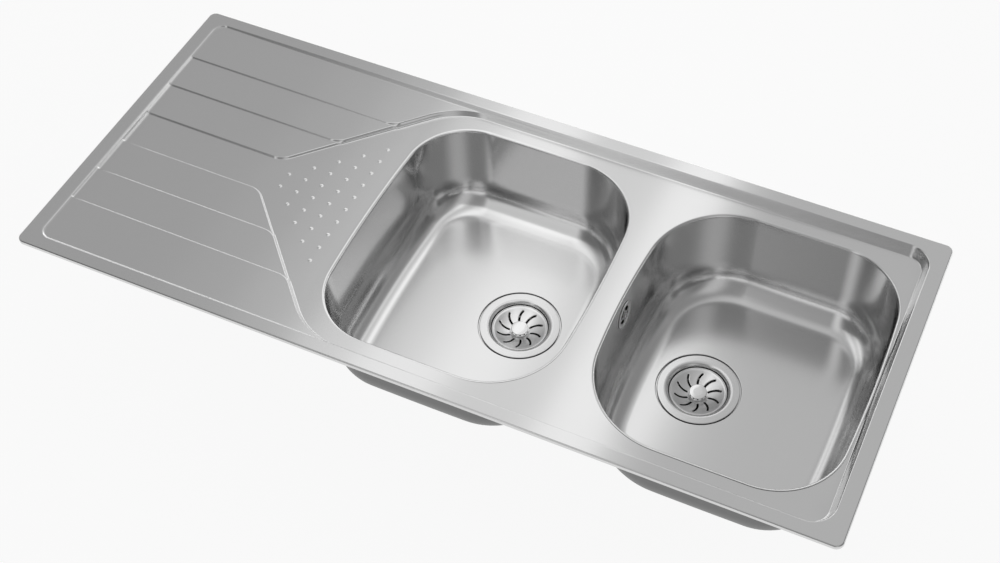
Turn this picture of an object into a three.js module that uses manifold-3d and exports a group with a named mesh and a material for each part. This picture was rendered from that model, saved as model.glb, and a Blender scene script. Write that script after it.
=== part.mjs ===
// Inset kitchen sink with two bowls and a stepped drainer.
// Millimetres. X runs along the sink, with the drainer at -X and the bowls at +X,
// +Y is the back and +Z is up. The origin is the centre of the rim's outline on the
// worktop's surface, so what is above Z = 0 stands on the worktop.

import * as THREE from 'three';
import { mergeVertices } from 'three/addons/utils/BufferGeometryUtils.js';
import Module from 'manifold-3d';

const wasm = await Module();
wasm.setup();

// ---------------------------------------------------------------- driving dimensions

const GAP = 0.3; // clearance between pieces that touch on the real sink
const SHEET = 1.0; // stainless sheet of the deck and the bowls

// Deck: outline, rim and recess
const LENGTH = 1160;
const WIDTH = 500;
const CORNER_RADIUS = 11;
const RIM_HEIGHT = 6; // rim's top above the worktop
const RIM_AT_ENDS = 22.2; // flat rim at the two short sides
const RIM_AT_SIDES = 20.2; // flat rim at the front and the back
const RECESS_RADIUS_DRAINER = 17;
const RECESS_RADIUS_BOWLS = 32;
const RECESS_WALL_RUN = 0.48; // the recess wall leans in this much for each mm of drop
const DECK_DROP = 14.6; // deck round the bowls, below the rim's top

// Drainer: a centre channel between panels that step up towards the front and the back
const CHANNEL_HALF_WIDTH = 31.4;
const PANEL_PITCH = 60.8;
const OUTER_PANEL_DROP = 2.0; // outermost panel below the rim's top, at the drainer's end
const PANEL_STEP = 2.2;
const STEPS_PER_SIDE = 3;
const PANEL_FALL = 0.0124; // drop of a panel for each mm towards the bowls
const FALL_END_GAP = 1.5; // from the falling channel's end to the left bowl's wall
const DIAGONAL_ANGLE = THREE.MathUtils.degToRad(46.5);
const DIAGONAL_REACH = 159.5; // from the diagonals' start at the channel to the left bowl's wall
const PANEL_BEND_RADIUS = 30; // a panel's corner between its step and the diagonal
const MERGE_RADIUS = 110; // the diagonal swings into the recess wall
const MERGE_INSET = 3.8; // end of that swing, inside the recess's top edge

// Raised dots beside the left bowl: each column has two more than the one before it
const DOT_COLUMNS = 5;
const DOT_REACH = 136.3; // from the first column to the left bowl's wall
const DOT_PITCH_X = 25.9;
const DOT_PITCH_Y = 24.8;
const DOT_RADIUS = 2.4;
const DOT_HEIGHT = 1.1;

// Bowls: sizes of the opening at the wall, below its rolled edge
const BOWL_LENGTH_X = 338;
const BOWL_SIDE_MARGIN = 29.8; // from the bowl's wall to the recess's top edge, front and back
const BOWL_END_MARGIN = 15.8; // the same at the right bowl's end
const BOWL_SPACING = 39.5; // between the two bowls' walls
const BOWL_CORNER_RADIUS = 88;
const BOWL_SIDE_RADIUS = 2000; // the sides of the opening bulge slightly
const BOWL_EDGE_ROLL = 4;
const BOWL_WALL_DRAFT = THREE.MathUtils.degToRad(2.4);
const BOWL_FLOOR_FILLET = 42;
const BOWL_FLOOR_DROP = 156; // bowl floor below the rim's top
const DRAIN_OFFSET = 54; // drain from its bowl's middle, towards the other bowl

// Strainer wastes
const SEAT_DEPTH = 2.8; // pressed seat that lets the flange lie level with the floor
const SEAT_RADIUS = 58.3;
const DRAIN_HOLE_RADIUS = 45;
const FLANGE_RADIUS = 57;
const FLANGE_SHEET = 1.2;
const CUP_RADIUS = 41.2; // inside of the cup at its mouth
const CUP_BOTTOM_RADIUS = 40;
const CUP_DEPTH = 31;
const CUP_EDGE_ROLL = 2.4;
const CUP_HOLES = 6;
const CUP_HOLE_RADIUS = 8;
const CUP_HOLE_CIRCLE = 23;
const FLANGE_SEAL_THICKNESS = 0.8;
const BODY_SEAL_THICKNESS = 2.5;
const BODY_SEAL_WIDTH = 12.5;
const BODY_RADIUS = 61;
const BODY_WALL = 2.6;
const BODY_CHAMBER_DEPTH = 38; // straight part below the body's top flange
const BODY_FLANGE_THICKNESS = 4;
const BODY_HUB_RADIUS = 8;
const BODY_SPOKES = 4;
const BODY_SPOKE_WIDTH = 4;
const BODY_SPOKE_HEIGHT = 8;
const OUTLET_RADIUS = 23.9; // outside of the G 1 1/2 thread
const OUTLET_WALL = 3.6;
const OUTLET_LENGTH = 20;
const FUNNEL_HEIGHT = 14;
const CLAMP_SCREW_RADIUS = 3;
const CLAMP_SCREW_HEAD_RADIUS = 6;
const CLAMP_SCREW_HEAD_HEIGHT = 2.6;
const CLAMP_SCREW_LENGTH = 22;

// Strainer basket
const BASKET_RADIUS = 39.5;
const BASKET_RIM_DROP = 5.8; // basket's rim below the bowl floor
const BASKET_CENTRE_DROP = 15;
const BASKET_SHEET = 1.0;
const BASKET_SKIRT = 4;
const BASKET_SLOTS = 10;
const SLOT_INNER_RADIUS = 15.5;
const SLOT_OUTER_RADIUS = 33;
const SLOT_WIDTH = 2.0;
const SLOT_SWIRL = THREE.MathUtils.degToRad(-12);
const KNOB_RADIUS = 11.5;
const KNOB_HEIGHT = 8.6;
const STEM_RADIUS = 4;
const STOPPER_RADIUS = 36;
const STOPPER_THICKNESS = 5;

// Overflow in the right bowl's left wall
const OVERFLOW_DROP = 35; // overflow's middle below the deck
const ROSETTE_RADIUS = 20;
const ROSETTE_THICKNESS = 1.6;
const ROSETTE_SHEET = 0.9;
const ROSETTE_BRIDGE = 2.4; // the bars between the rosette's four windows
const WINDOW_INNER_RADIUS = 6.5;
const WINDOW_OUTER_RADIUS = 13.5;
const OVERFLOW_HOLE_RADIUS = 15;
const OVERFLOW_SEAL_THICKNESS = 2;
const OVERFLOW_BODY_DEPTH = 15;
const OVERFLOW_BODY_RADIUS = 19;
const PIPE_RADIUS = 9;
const PIPE_WALL = 1.8;
const PIPE_BEND_RADIUS = 22;
const INLET_DROP = 33; // side inlet's middle below the bowl floor
const INLET_LENGTH = 14;
const NUT_RADIUS = 14.5;
const NUT_HEIGHT = 14;

// Under the rim
const SEAL_WIDTH = 10;
const RAIL_SHEET = 1.0;
const RAIL_INSET = 16.5; // rail's outer face from the rim's outline
const RAIL_DEPTH = 20.7;
const RAIL_FOOT = 4;
const RAIL_END_GAP = 60; // from a rail's end to the rim's corner

// Sound pads under the bowls
const PAD_THICKNESS = 2.5;
const PAD_INSET = 62; // pad's edge inside the bowl's opening
const PAD_HOLE_RADIUS = 72;

// Fixing clips
const CLIP_WIDTH = 16;
const CLIP_SHEET = 1.5;
const CLIP_HOOK_HEIGHT = 9.3;
const CLIP_SHELF_DEPTH = 6.2; // shelf below the rail's lower edge
const CLIP_SHELF_BEYOND_SCREW = 6;
const SIDE_CLIP_INSET = 23.5; // clip screw's axis inside the front and back rails
const END_CLIP_INSET = 9; // the same at the ends, where a bowl leaves less room
const CLIP_SCREW_RADIUS = 2.5;
const CLIP_SCREW_LENGTH = 34;
const CLIP_SCREW_ABOVE_SHELF = 1;
const CLIP_HEAD_RADIUS = 5;
const CLIP_HEAD_HEIGHT = 4;
const CLAW_BEYOND_RAIL = 25; // how far a claw reaches past the rail when it is swung out
const CLAW_WIDTH = 13;
const CLAW_THICKNESS = 3;
const CLAW_TIP_HEIGHT = 14;
const CLIP_END_DISTANCE = 150; // the outer clips' distance from the rim's ends

// How finely round shapes are cut
const CORNER_SEGMENTS = 5;
const SIDE_SEGMENTS = 2;
const ROUND_SEGMENTS = 24;
const SMALL_SEGMENTS = 12;
const SCREW_SEGMENTS = 8;
const FILLET_SEGMENTS = 3;
const ROLL_SEGMENTS = 2;
const BEND_SEGMENTS = 5;

// ---------------------------------------------------------------- worked-out levels

const BOWL_WIDTH_Y = WIDTH - 2 * (RIM_AT_SIDES + BOWL_SIDE_MARGIN);
const RIGHT_BOWL_X = LENGTH / 2 - RIM_AT_ENDS - BOWL_END_MARGIN - BOWL_LENGTH_X / 2;
const LEFT_BOWL_X = RIGHT_BOWL_X - BOWL_LENGTH_X - BOWL_SPACING;
const LEFT_BOWL_WALL_X = LEFT_BOWL_X - BOWL_LENGTH_X / 2;
const FALL_END_X = LEFT_BOWL_WALL_X - FALL_END_GAP;
const DIAGONAL_START_X = LEFT_BOWL_WALL_X - DIAGONAL_REACH;
const MERGE_HALF_WIDTH = WIDTH / 2 - RIM_AT_SIDES - MERGE_INSET;
const DECK_Z = RIM_HEIGHT - DECK_DROP;
const FLOOR_Z = RIM_HEIGHT - BOWL_FLOOR_DROP;
const RIM_UNDERSIDE = RIM_HEIGHT - SHEET;
const DRAINER_END_X = -LENGTH / 2 + RIM_AT_ENDS;
const CHANNEL_DROP = OUTER_PANEL_DROP + STEPS_PER_SIDE * PANEL_STEP;
const CHANNEL_FALL = (DECK_DROP - CHANNEL_DROP) / (FALL_END_X - DRAINER_END_X);
const EDGE_CUT = BOWL_EDGE_ROLL + GAP; // deck's opening beyond the bowl's wall
const BEYOND = 50; // how far a cutting shape runs past what it cuts
const LEAST_RADIUS = 1; // smallest corner of an outline that is drawn inwards

// ---------------------------------------------------------------- materials

function material(color, roughness, metalness) {
  return new THREE.MeshStandardMaterial({ color, roughness, metalness });
}

const steel = material(0xb9bbbd, 0.35, 1);
const polishedSteel = material(0xc9cacb, 0.12, 1);
const zincSteel = material(0xa9adb0, 0.4, 1);
const blackPlastic = material(0x26272a, 0.5, 0);
const rubber = material(0x1d1d1e, 0.8, 0);
const foam = material(0x3a3b3d, 0.95, 0);
const soundPad = material(0x4b4c4e, 0.9, 0);

const sink = new THREE.Group();

// ---------------------------------------------------------------- solids

// A closed geometry as a manifold solid with its faces pointing out.
function solid(geometry) {
  const plain = geometry.clone();
  plain.deleteAttribute('normal');
  plain.deleteAttribute('uv');
  const merged = mergeVertices(plain, 1e-4);
  const corners = merged.index.array;
  const points = merged.attributes.position;
  const triangles = [];
  let volume = 0;
  const a = new THREE.Vector3();
  const b = new THREE.Vector3();
  const c = new THREE.Vector3();
  for (let i = 0; i < corners.length; i += 3) {
    const [p, q, r] = [corners[i], corners[i + 1], corners[i + 2]];
    if (p === q || q === r || r === p) continue;
    triangles.push([p, q, r]);
    a.fromBufferAttribute(points, p);
    b.fromBufferAttribute(points, q);
    c.fromBufferAttribute(points, r);
    volume += a.dot(b.cross(c));
  }
  const outward = volume < 0 ? triangles.map(([p, q, r]) => [p, r, q]) : triangles;
  const mesh = new wasm.Mesh({
    numProp: 3,
    vertProperties: new Float32Array(points.array),
    triVerts: new Uint32Array(outward.flat()),
  });
  return new wasm.Manifold(mesh);
}

// A manifold solid as a three.js geometry.
function geometryOf(manifold) {
  const mesh = manifold.getMesh();
  const geometry = new THREE.BufferGeometry();
  geometry.setAttribute('position', new THREE.BufferAttribute(new Float32Array(mesh.vertProperties), 3));
  geometry.setIndex(new THREE.BufferAttribute(new Uint32Array(mesh.triVerts), 1));
  geometry.computeVertexNormals();
  return geometry;
}

function unite(solids) {
  return solids.reduce((whole, piece) => whole.add(piece));
}

function addPiece(parent, name, manifold, material) {
  const mesh = new THREE.Mesh(geometryOf(manifold), material);
  mesh.name = name;
  parent.add(mesh);
  return mesh;
}

function groupAt(x, y, z) {
  const group = new THREE.Group();
  group.position.set(x, y, z);
  sink.add(group);
  return group;
}

function box(x0, x1, y0, y1, z0, z1) {
  const geometry = new THREE.BoxGeometry(x1 - x0, y1 - y0, z1 - z0);
  geometry.translate((x0 + x1) / 2, (y0 + y1) / 2, (z0 + z1) / 2);
  return solid(geometry);
}

function cylinder(radius, z0, z1, x = 0, y = 0, segments = ROUND_SEGMENTS) {
  const geometry = new THREE.CylinderGeometry(radius, radius, z1 - z0, segments);
  geometry.rotateX(Math.PI / 2);
  geometry.translate(x, y, (z0 + z1) / 2);
  return solid(geometry);
}

// A closed profile of [radius, z] points, turned round the Z axis.
function turned(profile, segments = ROUND_SEGMENTS) {
  const points = profile.map(([radius, z]) => new THREE.Vector2(radius, z));
  if (profile[0][0] > 0) points.push(points[0].clone());
  const geometry = new THREE.LatheGeometry(points, segments);
  geometry.rotateX(Math.PI / 2);
  return solid(geometry);
}

function ring(inner, outer, z0, z1, segments = ROUND_SEGMENTS) {
  return turned([[inner, z0], [outer, z0], [outer, z1], [inner, z1]], segments);
}

// An outline in the XY plane, extruded up from z0 to z1.
function prism(points, z0, z1) {
  const geometry = new THREE.ExtrudeGeometry(new THREE.Shape(points), {
    depth: z1 - z0,
    bevelEnabled: false,
    curveSegments: 1,
  });
  geometry.translate(0, 0, z0);
  return solid(geometry);
}

// A solid through closed rings of as many points each, with flat ends.
function lofted(rings) {
  const count = rings[0].length;
  const positions = rings.flat().flatMap((p) => [p.x, p.y, p.z]);
  const indices = [];
  for (let level = 0; level < rings.length - 1; level++) {
    for (let i = 0; i < count; i++) {
      const next = (i + 1) % count;
      const low = level * count;
      const high = low + count;
      indices.push(low + i, low + next, high + next);
      indices.push(low + i, high + next, high + i);
    }
  }
  const last = (rings.length - 1) * count;
  for (let i = 1; i < count - 1; i++) {
    indices.push(0, i + 1, i);
    indices.push(last, last + i, last + i + 1);
  }
  const geometry = new THREE.BufferGeometry();
  geometry.setAttribute('position', new THREE.Float32BufferAttribute(positions, 3));
  geometry.setIndex(indices);
  return solid(geometry);
}

// ---------------------------------------------------------------- outlines

function arcPoints(cx, cy, radius, from, to, segments) {
  const points = [];
  for (let i = 0; i <= segments; i++) {
    const angle = from + ((to - from) * i) / segments;
    points.push(new THREE.Vector2(cx + radius * Math.cos(angle), cy + radius * Math.sin(angle)));
  }
  return points;
}

// A rectangle with round corners, counter-clockwise; the left pair may have another radius.
function roundedRectangle(halfX, halfY, radiusLeft, radiusRight, grow) {
  const x = halfX + grow;
  const y = halfY + grow;
  const left = Math.max(radiusLeft + grow, LEAST_RADIUS);
  const right = Math.max(radiusRight + grow, LEAST_RADIUS);
  const corners = [
    [x - right, y - right, right],
    [-x + left, y - left, left],
    [-x + left, -y + left, left],
    [x - right, -y + right, right],
  ];
  return corners.flatMap(([cx, cy, radius], quarter) => {
    const start = (quarter * Math.PI) / 2;
    return arcPoints(cx, cy, radius, start, start + Math.PI / 2, CORNER_SEGMENTS);
  });
}

// The rim's outline, grown by a distance.
function rimOutline(grow) {
  return roundedRectangle(LENGTH / 2, WIDTH / 2, CORNER_RADIUS, CORNER_RADIUS, grow);
}

function recessOutline(grow) {
  return roundedRectangle(
    LENGTH / 2 - RIM_AT_ENDS, WIDTH / 2 - RIM_AT_SIDES,
    RECESS_RADIUS_DRAINER, RECESS_RADIUS_BOWLS, grow);
}

// Where a bowl's corner arc is centred, so that it runs smoothly into the bulging sides:
// it lies at one distance from the centre of the end side's arc and of the long side's arc.
function bowlCornerCentre() {
  const fromEnd = BOWL_SIDE_RADIUS - BOWL_LENGTH_X / 2;
  const fromSide = BOWL_SIDE_RADIUS - BOWL_WIDTH_Y / 2;
  const reach = BOWL_SIDE_RADIUS - BOWL_CORNER_RADIUS;
  const span = Math.hypot(fromEnd, fromSide);
  const rise = Math.sqrt(reach * reach - (span * span) / 4);
  return new THREE.Vector2(
    -fromEnd / 2 + (rise * fromSide) / span,
    -fromSide / 2 + (rise * fromEnd) / span,
  );
}

// A bowl's opening at its wall, grown by a distance, counter-clockwise from the right side.
function bowlOutline(centreX, grow) {
  const corner = bowlCornerCentre();
  const endCentre = BOWL_LENGTH_X / 2 - BOWL_SIDE_RADIUS;
  const sideCentre = BOWL_WIDTH_Y / 2 - BOWL_SIDE_RADIUS;
  const endAngle = Math.atan2(corner.y, corner.x - endCentre);
  const sideAngle = Math.atan2(corner.y - sideCentre, corner.x);
  const sideRadius = BOWL_SIDE_RADIUS + grow;
  const cornerRadius = BOWL_CORNER_RADIUS + grow;
  const quarter = [
    ...arcPoints(endCentre, 0, sideRadius, 0, endAngle, SIDE_SEGMENTS),
    ...arcPoints(corner.x, corner.y, cornerRadius, endAngle, sideAngle, CORNER_SEGMENTS).slice(1),
    ...arcPoints(0, sideCentre, sideRadius, sideAngle, Math.PI / 2, SIDE_SEGMENTS).slice(1),
  ];
  const upperLeft = quarter.slice(0, -1).reverse().map((p) => new THREE.Vector2(-p.x, p.y));
  const upper = [...quarter, ...upperLeft];
  const lower = upper.slice(1, -1).reverse().map((p) => new THREE.Vector2(p.x, -p.y));
  return [...upper, ...lower].map((p) => new THREE.Vector2(p.x + centreX, p.y));
}

function atLevel(outline, z) {
  return outline.map((p) => new THREE.Vector3(p.x, p.y, z));
}

// ---------------------------------------------------------------- deck

// Where the diagonal has swung round into the recess wall.
function mergeEnd(grow) {
  const merge = MERGE_RADIUS + grow;
  const startY = MERGE_HALF_WIDTH - MERGE_RADIUS + merge * Math.cos(DIAGONAL_ANGLE);
  const lineX = DIAGONAL_START_X - grow / Math.sin(DIAGONAL_ANGLE);
  return lineX + (startY - CHANNEL_HALF_WIDTH) / Math.tan(DIAGONAL_ANGLE)
    + merge * Math.sin(DIAGONAL_ANGLE);
}

// The edge of what lies deeper than the terrace outside the given step, as an outline:
// along the step to the diagonal, along the diagonal, and round into the recess wall.
// From there on it runs outside the recess, whose own wall is the edge.
function pitOutline(stepY, grow) {
  const along = new THREE.Vector2(Math.cos(DIAGONAL_ANGLE), Math.sin(DIAGONAL_ANGLE));
  const edgeY = stepY + grow;
  const lineX = DIAGONAL_START_X - grow / along.y;
  const meetX = lineX + (edgeY - CHANNEL_HALF_WIDTH) * (along.x / along.y);
  const bend = PANEL_BEND_RADIUS - grow;
  const bendX = meetX - bend * Math.tan(DIAGONAL_ANGLE / 2);
  const merge = MERGE_RADIUS + grow;
  const mergeX = mergeEnd(grow);
  const mergeY = MERGE_HALF_WIDTH - MERGE_RADIUS;
  const outside = WIDTH / 2 + BEYOND;
  const bendFrom = -Math.PI / 2;
  const back = [
    new THREE.Vector2(-LENGTH / 2 - BEYOND, edgeY),
    ...arcPoints(bendX, edgeY + bend, bend, bendFrom, bendFrom + DIAGONAL_ANGLE, 3),
    ...arcPoints(mergeX, mergeY, merge, Math.PI / 2 + DIAGONAL_ANGLE, Math.PI / 2, 5),
    new THREE.Vector2(mergeX, outside),
    new THREE.Vector2(LENGTH / 2 + BEYOND, outside),
  ];
  const front = [...back].reverse().map((p) => new THREE.Vector2(p.x, -p.y));
  return [...front, ...back.slice()].reverse();
}

// What is open above a falling floor inside an outline.
function openAbove(outline, drop, fall) {
  const geometry = new THREE.ExtrudeGeometry(new THREE.Shape(outline), {
    depth: 2 * BEYOND,
    bevelEnabled: false,
    curveSegments: 1,
  });
  const points = geometry.attributes.position;
  for (let i = 0; i < points.count; i++) {
    const floor = RIM_HEIGHT - drop - fall * (points.getX(i) - DRAINER_END_X);
    points.setZ(i, points.getZ(i) + floor);
  }
  return solid(geometry);
}

// The recess as a solid: the space over the deck's top, or over its underside when grown.
function recess(grow) {
  const wallGrow = grow * Math.hypot(1, RECESS_WALL_RUN);
  const depth = DECK_DROP + 2 * grow;
  const funnel = lofted([
    atLevel(recessOutline(wallGrow - depth * RECESS_WALL_RUN), RIM_HEIGHT - depth),
    atLevel(recessOutline(wallGrow), RIM_HEIGHT),
    atLevel(recessOutline(wallGrow), RIM_HEIGHT + BEYOND / 2),
  ]);
  const farX = LENGTH / 2 + BEYOND;
  const farY = WIDTH / 2 + BEYOND;
  const fallPart = box(-farX, FALL_END_X, -farY, farY, -BEYOND, BEYOND);
  const levelPart = box(FALL_END_X - 1, farX, -farY, farY, -BEYOND, BEYOND);
  const endX = mergeEnd(grow) + 1;
  const outerPanels = [[-farX, -farY], [endX, -farY], [endX, farY], [-farX, farY]]
    .map(([x, y]) => new THREE.Vector2(x, y));
  const open = [openAbove(outerPanels, OUTER_PANEL_DROP + grow, PANEL_FALL)];
  for (let step = 1; step < STEPS_PER_SIDE; step++) {
    const stepY = CHANNEL_HALF_WIDTH + (STEPS_PER_SIDE - step) * PANEL_PITCH;
    const drop = OUTER_PANEL_DROP + step * PANEL_STEP + grow;
    open.push(openAbove(pitOutline(stepY, grow), drop, PANEL_FALL).intersect(fallPart));
  }
  const channel = pitOutline(CHANNEL_HALF_WIDTH, grow);
  open.push(openAbove(channel, CHANNEL_DROP + grow, CHANNEL_FALL).intersect(fallPart));
  open.push(openAbove(channel, DECK_DROP + grow, 0).intersect(levelPart));
  return funnel.intersect(unite(open));
}

function channelZ(x) {
  return RIM_HEIGHT - CHANNEL_DROP - CHANNEL_FALL * (x - DRAINER_END_X);
}

// Low raised dots in a triangle that widens towards the left bowl.
function dots() {
  const pieces = [];
  for (let column = 0; column < DOT_COLUMNS; column++) {
    const x = LEFT_BOWL_WALL_X - DOT_REACH + column * DOT_PITCH_X;
    const count = 2 * (column + 1);
    for (let row = 0; row < count; row++) {
      const bump = new THREE.CylinderGeometry(DOT_RADIUS / 2, DOT_RADIUS, DOT_HEIGHT + SHEET / 2, 6);
      bump.rotateX(Math.PI / 2);
      const middleZ = channelZ(x) + (DOT_HEIGHT - SHEET / 2) / 2;
      bump.translate(x, (row - (count - 1) / 2) * DOT_PITCH_Y, middleZ);
      pieces.push(solid(bump));
    }
  }
  return unite(pieces);
}

function makeDeck() {
  const rim = prism(rimOutline(0), RIM_UNDERSIDE, RIM_HEIGHT);
  const inside = prism(rimOutline(-SHEET), -1, RIM_HEIGHT + 1);
  const lip = prism(rimOutline(0), 0, RIM_HEIGHT).subtract(inside);
  const farX = LENGTH;
  const belowRim = box(-farX, farX, -farX, farX, -2 * BEYOND, RIM_HEIGHT - SHEET / 2);
  const pressed = recess(SHEET).intersect(belowRim);
  const openings = [LEFT_BOWL_X, RIGHT_BOWL_X]
    .map((x) => prism(bowlOutline(x, EDGE_CUT), DECK_Z - BEYOND, DECK_Z + BEYOND));
  const deck = unite([rim, lip, pressed]).subtract(recess(0)).subtract(unite(openings)).add(dots());
  addPiece(sink, 'deck', deck, steel);
}

// ---------------------------------------------------------------- bowls

// A bowl's section from its floor up to its rolled edge, as [inset, z] points.
// The inset is measured inwards from the wall's top. Outside is the sheet's other face.
function bowlSection(outside) {
  const draft = BOWL_WALL_DRAFT;
  const fillet = BOWL_FLOOR_FILLET + outside;
  const roll = BOWL_EDGE_ROLL - outside;
  const wallTop = DECK_Z - BOWL_EDGE_ROLL;
  const filletZ = FLOOR_Z + BOWL_FLOOR_FILLET;
  const wallFootZ = filletZ - BOWL_FLOOR_FILLET * Math.sin(draft);
  const filletInset = (wallTop - wallFootZ) * Math.tan(draft) + BOWL_FLOOR_FILLET * Math.cos(draft);
  const section = [];
  for (let i = 0; i <= FILLET_SEGMENTS; i++) {
    const angle = Math.PI / 2 - ((Math.PI / 2 - draft) * i) / FILLET_SEGMENTS;
    section.push([filletInset - fillet * Math.cos(angle), filletZ - fillet * Math.sin(angle)]);
  }
  for (let i = 0; i <= ROLL_SEGMENTS; i++) {
    const angle = (Math.PI / 2) * (i / ROLL_SEGMENTS);
    section.push([-BOWL_EDGE_ROLL + roll * Math.cos(angle), wallTop + roll * Math.sin(angle)]);
  }
  return section;
}

// The overflow's middle on the inside of the right bowl's left wall.
const OVERFLOW_Z = DECK_Z - OVERFLOW_DROP;
const OVERFLOW_X = RIGHT_BOWL_X - BOWL_LENGTH_X / 2
  + (OVERFLOW_DROP - BOWL_EDGE_ROLL) * Math.tan(BOWL_WALL_DRAFT);

// Puts a solid made along +Z, from the overflow's middle, against the sloping wall.
function againstWall(manifold) {
  const lean = 90 - THREE.MathUtils.radToDeg(BOWL_WALL_DRAFT);
  return manifold.rotate([0, lean, 0]).translate([OVERFLOW_X, 0, OVERFLOW_Z]);
}

function makeBowl(name, centreX, drainX, overflow) {
  const ringAt = ([inset, z]) => atLevel(bowlOutline(centreX, -inset), z);
  const outer = bowlSection(SHEET).map(ringAt);
  const inner = bowlSection(0).reverse().map(ringAt);
  const shell = lofted([...outer, ...inner]);
  const seatZ = FLOOR_Z - SEAT_DEPTH;
  const seatUnder = cylinder(SEAT_RADIUS + SHEET, seatZ - SHEET, FLOOR_Z - SHEET / 2, drainX);
  const seat = cylinder(SEAT_RADIUS, seatZ, FLOOR_Z + BEYOND, drainX);
  const hole = cylinder(DRAIN_HOLE_RADIUS, FLOOR_Z - BEYOND, FLOOR_Z + BEYOND, drainX);
  let bowl = shell.add(seatUnder).subtract(seat).subtract(hole);
  if (overflow) {
    bowl = bowl.subtract(againstWall(cylinder(OVERFLOW_HOLE_RADIUS, -4 * SHEET, 4 * SHEET)));
  }
  addPiece(sink, name, bowl, steel);
}

// A damping pad under a bowl's floor, with a clear ring round the waste.
function makePad(name, centreX, drainX) {
  const top = FLOOR_Z - SHEET - GAP;
  const pad = prism(bowlOutline(centreX, -PAD_INSET), top - PAD_THICKNESS, top);
  const hole = cylinder(PAD_HOLE_RADIUS, top - BEYOND, top + BEYOND, drainX);
  addPiece(sink, name, pad.subtract(hole), soundPad);
}

// ---------------------------------------------------------------- wastes

// Levels inside a waste's group, whose origin is on the bowl's floor.
const SEAT_UNDERSIDE = -SEAT_DEPTH - SHEET;
const BODY_TOP = SEAT_UNDERSIDE - 2 * GAP - BODY_SEAL_THICKNESS;
const CHAMBER_BOTTOM = BODY_TOP - BODY_CHAMBER_DEPTH;
const OUTLET_TOP = CHAMBER_BOTTOM - FUNNEL_HEIGHT;
const OUTLET_END = OUTLET_TOP - OUTLET_LENGTH;
const CHAMBER_RADIUS = CUP_RADIUS + FLANGE_SHEET + GAP + 1.2;
const HUB_TOP = -CUP_DEPTH - FLANGE_SHEET - GAP;
const STOPPER_BOTTOM = -CUP_DEPTH + GAP;

function makeFlange(group, name) {
  const cupWall = CUP_RADIUS + FLANGE_SHEET;
  const flange = turned([
    [CLAMP_SCREW_RADIUS + GAP, -CUP_DEPTH - FLANGE_SHEET],
    [CUP_BOTTOM_RADIUS + FLANGE_SHEET, -CUP_DEPTH - FLANGE_SHEET],
    [cupWall, -CUP_EDGE_ROLL - FLANGE_SHEET],
    [cupWall + GAP, -FLANGE_SHEET],
    [FLANGE_RADIUS, -FLANGE_SHEET],
    [FLANGE_RADIUS, 0],
    [CUP_RADIUS + CUP_EDGE_ROLL, 0],
    [CUP_RADIUS + CUP_EDGE_ROLL * 0.3, -CUP_EDGE_ROLL * 0.3],
    [CUP_RADIUS, -CUP_EDGE_ROLL],
    [CUP_BOTTOM_RADIUS, -CUP_DEPTH],
    [CLAMP_SCREW_RADIUS + GAP, -CUP_DEPTH],
  ]);
  const holes = [];
  for (let i = 0; i < CUP_HOLES; i++) {
    const angle = (i / CUP_HOLES) * 2 * Math.PI;
    const x = CUP_HOLE_CIRCLE * Math.cos(angle);
    const y = CUP_HOLE_CIRCLE * Math.sin(angle);
    holes.push(cylinder(CUP_HOLE_RADIUS, -CUP_DEPTH - BEYOND, -CUP_DEPTH + 1, x, y, 8));
  }
  addPiece(group, name, flange.subtract(unite(holes)), steel);
}

function makeWasteBody(group, name, withInlet) {
  const outletBore = OUTLET_RADIUS - OUTLET_WALL;
  const chamber = turned([
    [outletBore, OUTLET_END],
    [OUTLET_RADIUS, OUTLET_END],
    [OUTLET_RADIUS, OUTLET_TOP],
    [CHAMBER_RADIUS + BODY_WALL, CHAMBER_BOTTOM],
    [CHAMBER_RADIUS + BODY_WALL, BODY_TOP - BODY_FLANGE_THICKNESS],
    [BODY_RADIUS, BODY_TOP - BODY_FLANGE_THICKNESS],
    [BODY_RADIUS, BODY_TOP],
    [CHAMBER_RADIUS, BODY_TOP],
    [CHAMBER_RADIUS, CHAMBER_BOTTOM],
    [outletBore, OUTLET_TOP],
  ]);
  const spokes = [];
  for (let i = 0; i < BODY_SPOKES; i++) {
    const arm = box(
      0, CHAMBER_RADIUS + BODY_WALL / 2, -BODY_SPOKE_WIDTH / 2, BODY_SPOKE_WIDTH / 2,
      HUB_TOP - BODY_SPOKE_HEIGHT, HUB_TOP);
    spokes.push(arm.rotate([0, 0, (360 / BODY_SPOKES) * i + 45]));
  }
  // The inside of the funnel trims the spokes where they would reach through its slope.
  const inside = turned([
    [0, OUTLET_TOP],
    [outletBore + BODY_WALL / 2, OUTLET_TOP],
    [CHAMBER_RADIUS + BODY_WALL / 2, CHAMBER_BOTTOM],
    [CHAMBER_RADIUS + BODY_WALL / 2, BODY_TOP],
    [0, BODY_TOP],
  ]);
  const hub = cylinder(BODY_HUB_RADIUS, HUB_TOP - BODY_SPOKE_HEIGHT, HUB_TOP, 0, 0, SMALL_SEGMENTS);
  const bore = cylinder(CLAMP_SCREW_RADIUS + GAP, OUTLET_END, BODY_TOP, 0, 0, SMALL_SEGMENTS);
  let body = chamber.add(unite([...spokes, hub]).intersect(inside)).subtract(bore);
  if (withInlet) {
    const start = CHAMBER_RADIUS + BODY_WALL / 2;
    const end = CHAMBER_RADIUS + BODY_WALL + INLET_LENGTH;
    const sideways = (radius, from, to) => cylinder(radius, from, to, 0, 0, SMALL_SEGMENTS)
      .rotate([0, -90, 0])
      .translate([0, 0, -INLET_DROP]);
    const inletBore = sideways(PIPE_RADIUS - PIPE_WALL, start - 2 * BODY_WALL, end + BEYOND);
    body = body.add(sideways(PIPE_RADIUS, start, end)).subtract(inletBore);
  }
  addPiece(group, name, body, blackPlastic);
}

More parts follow.
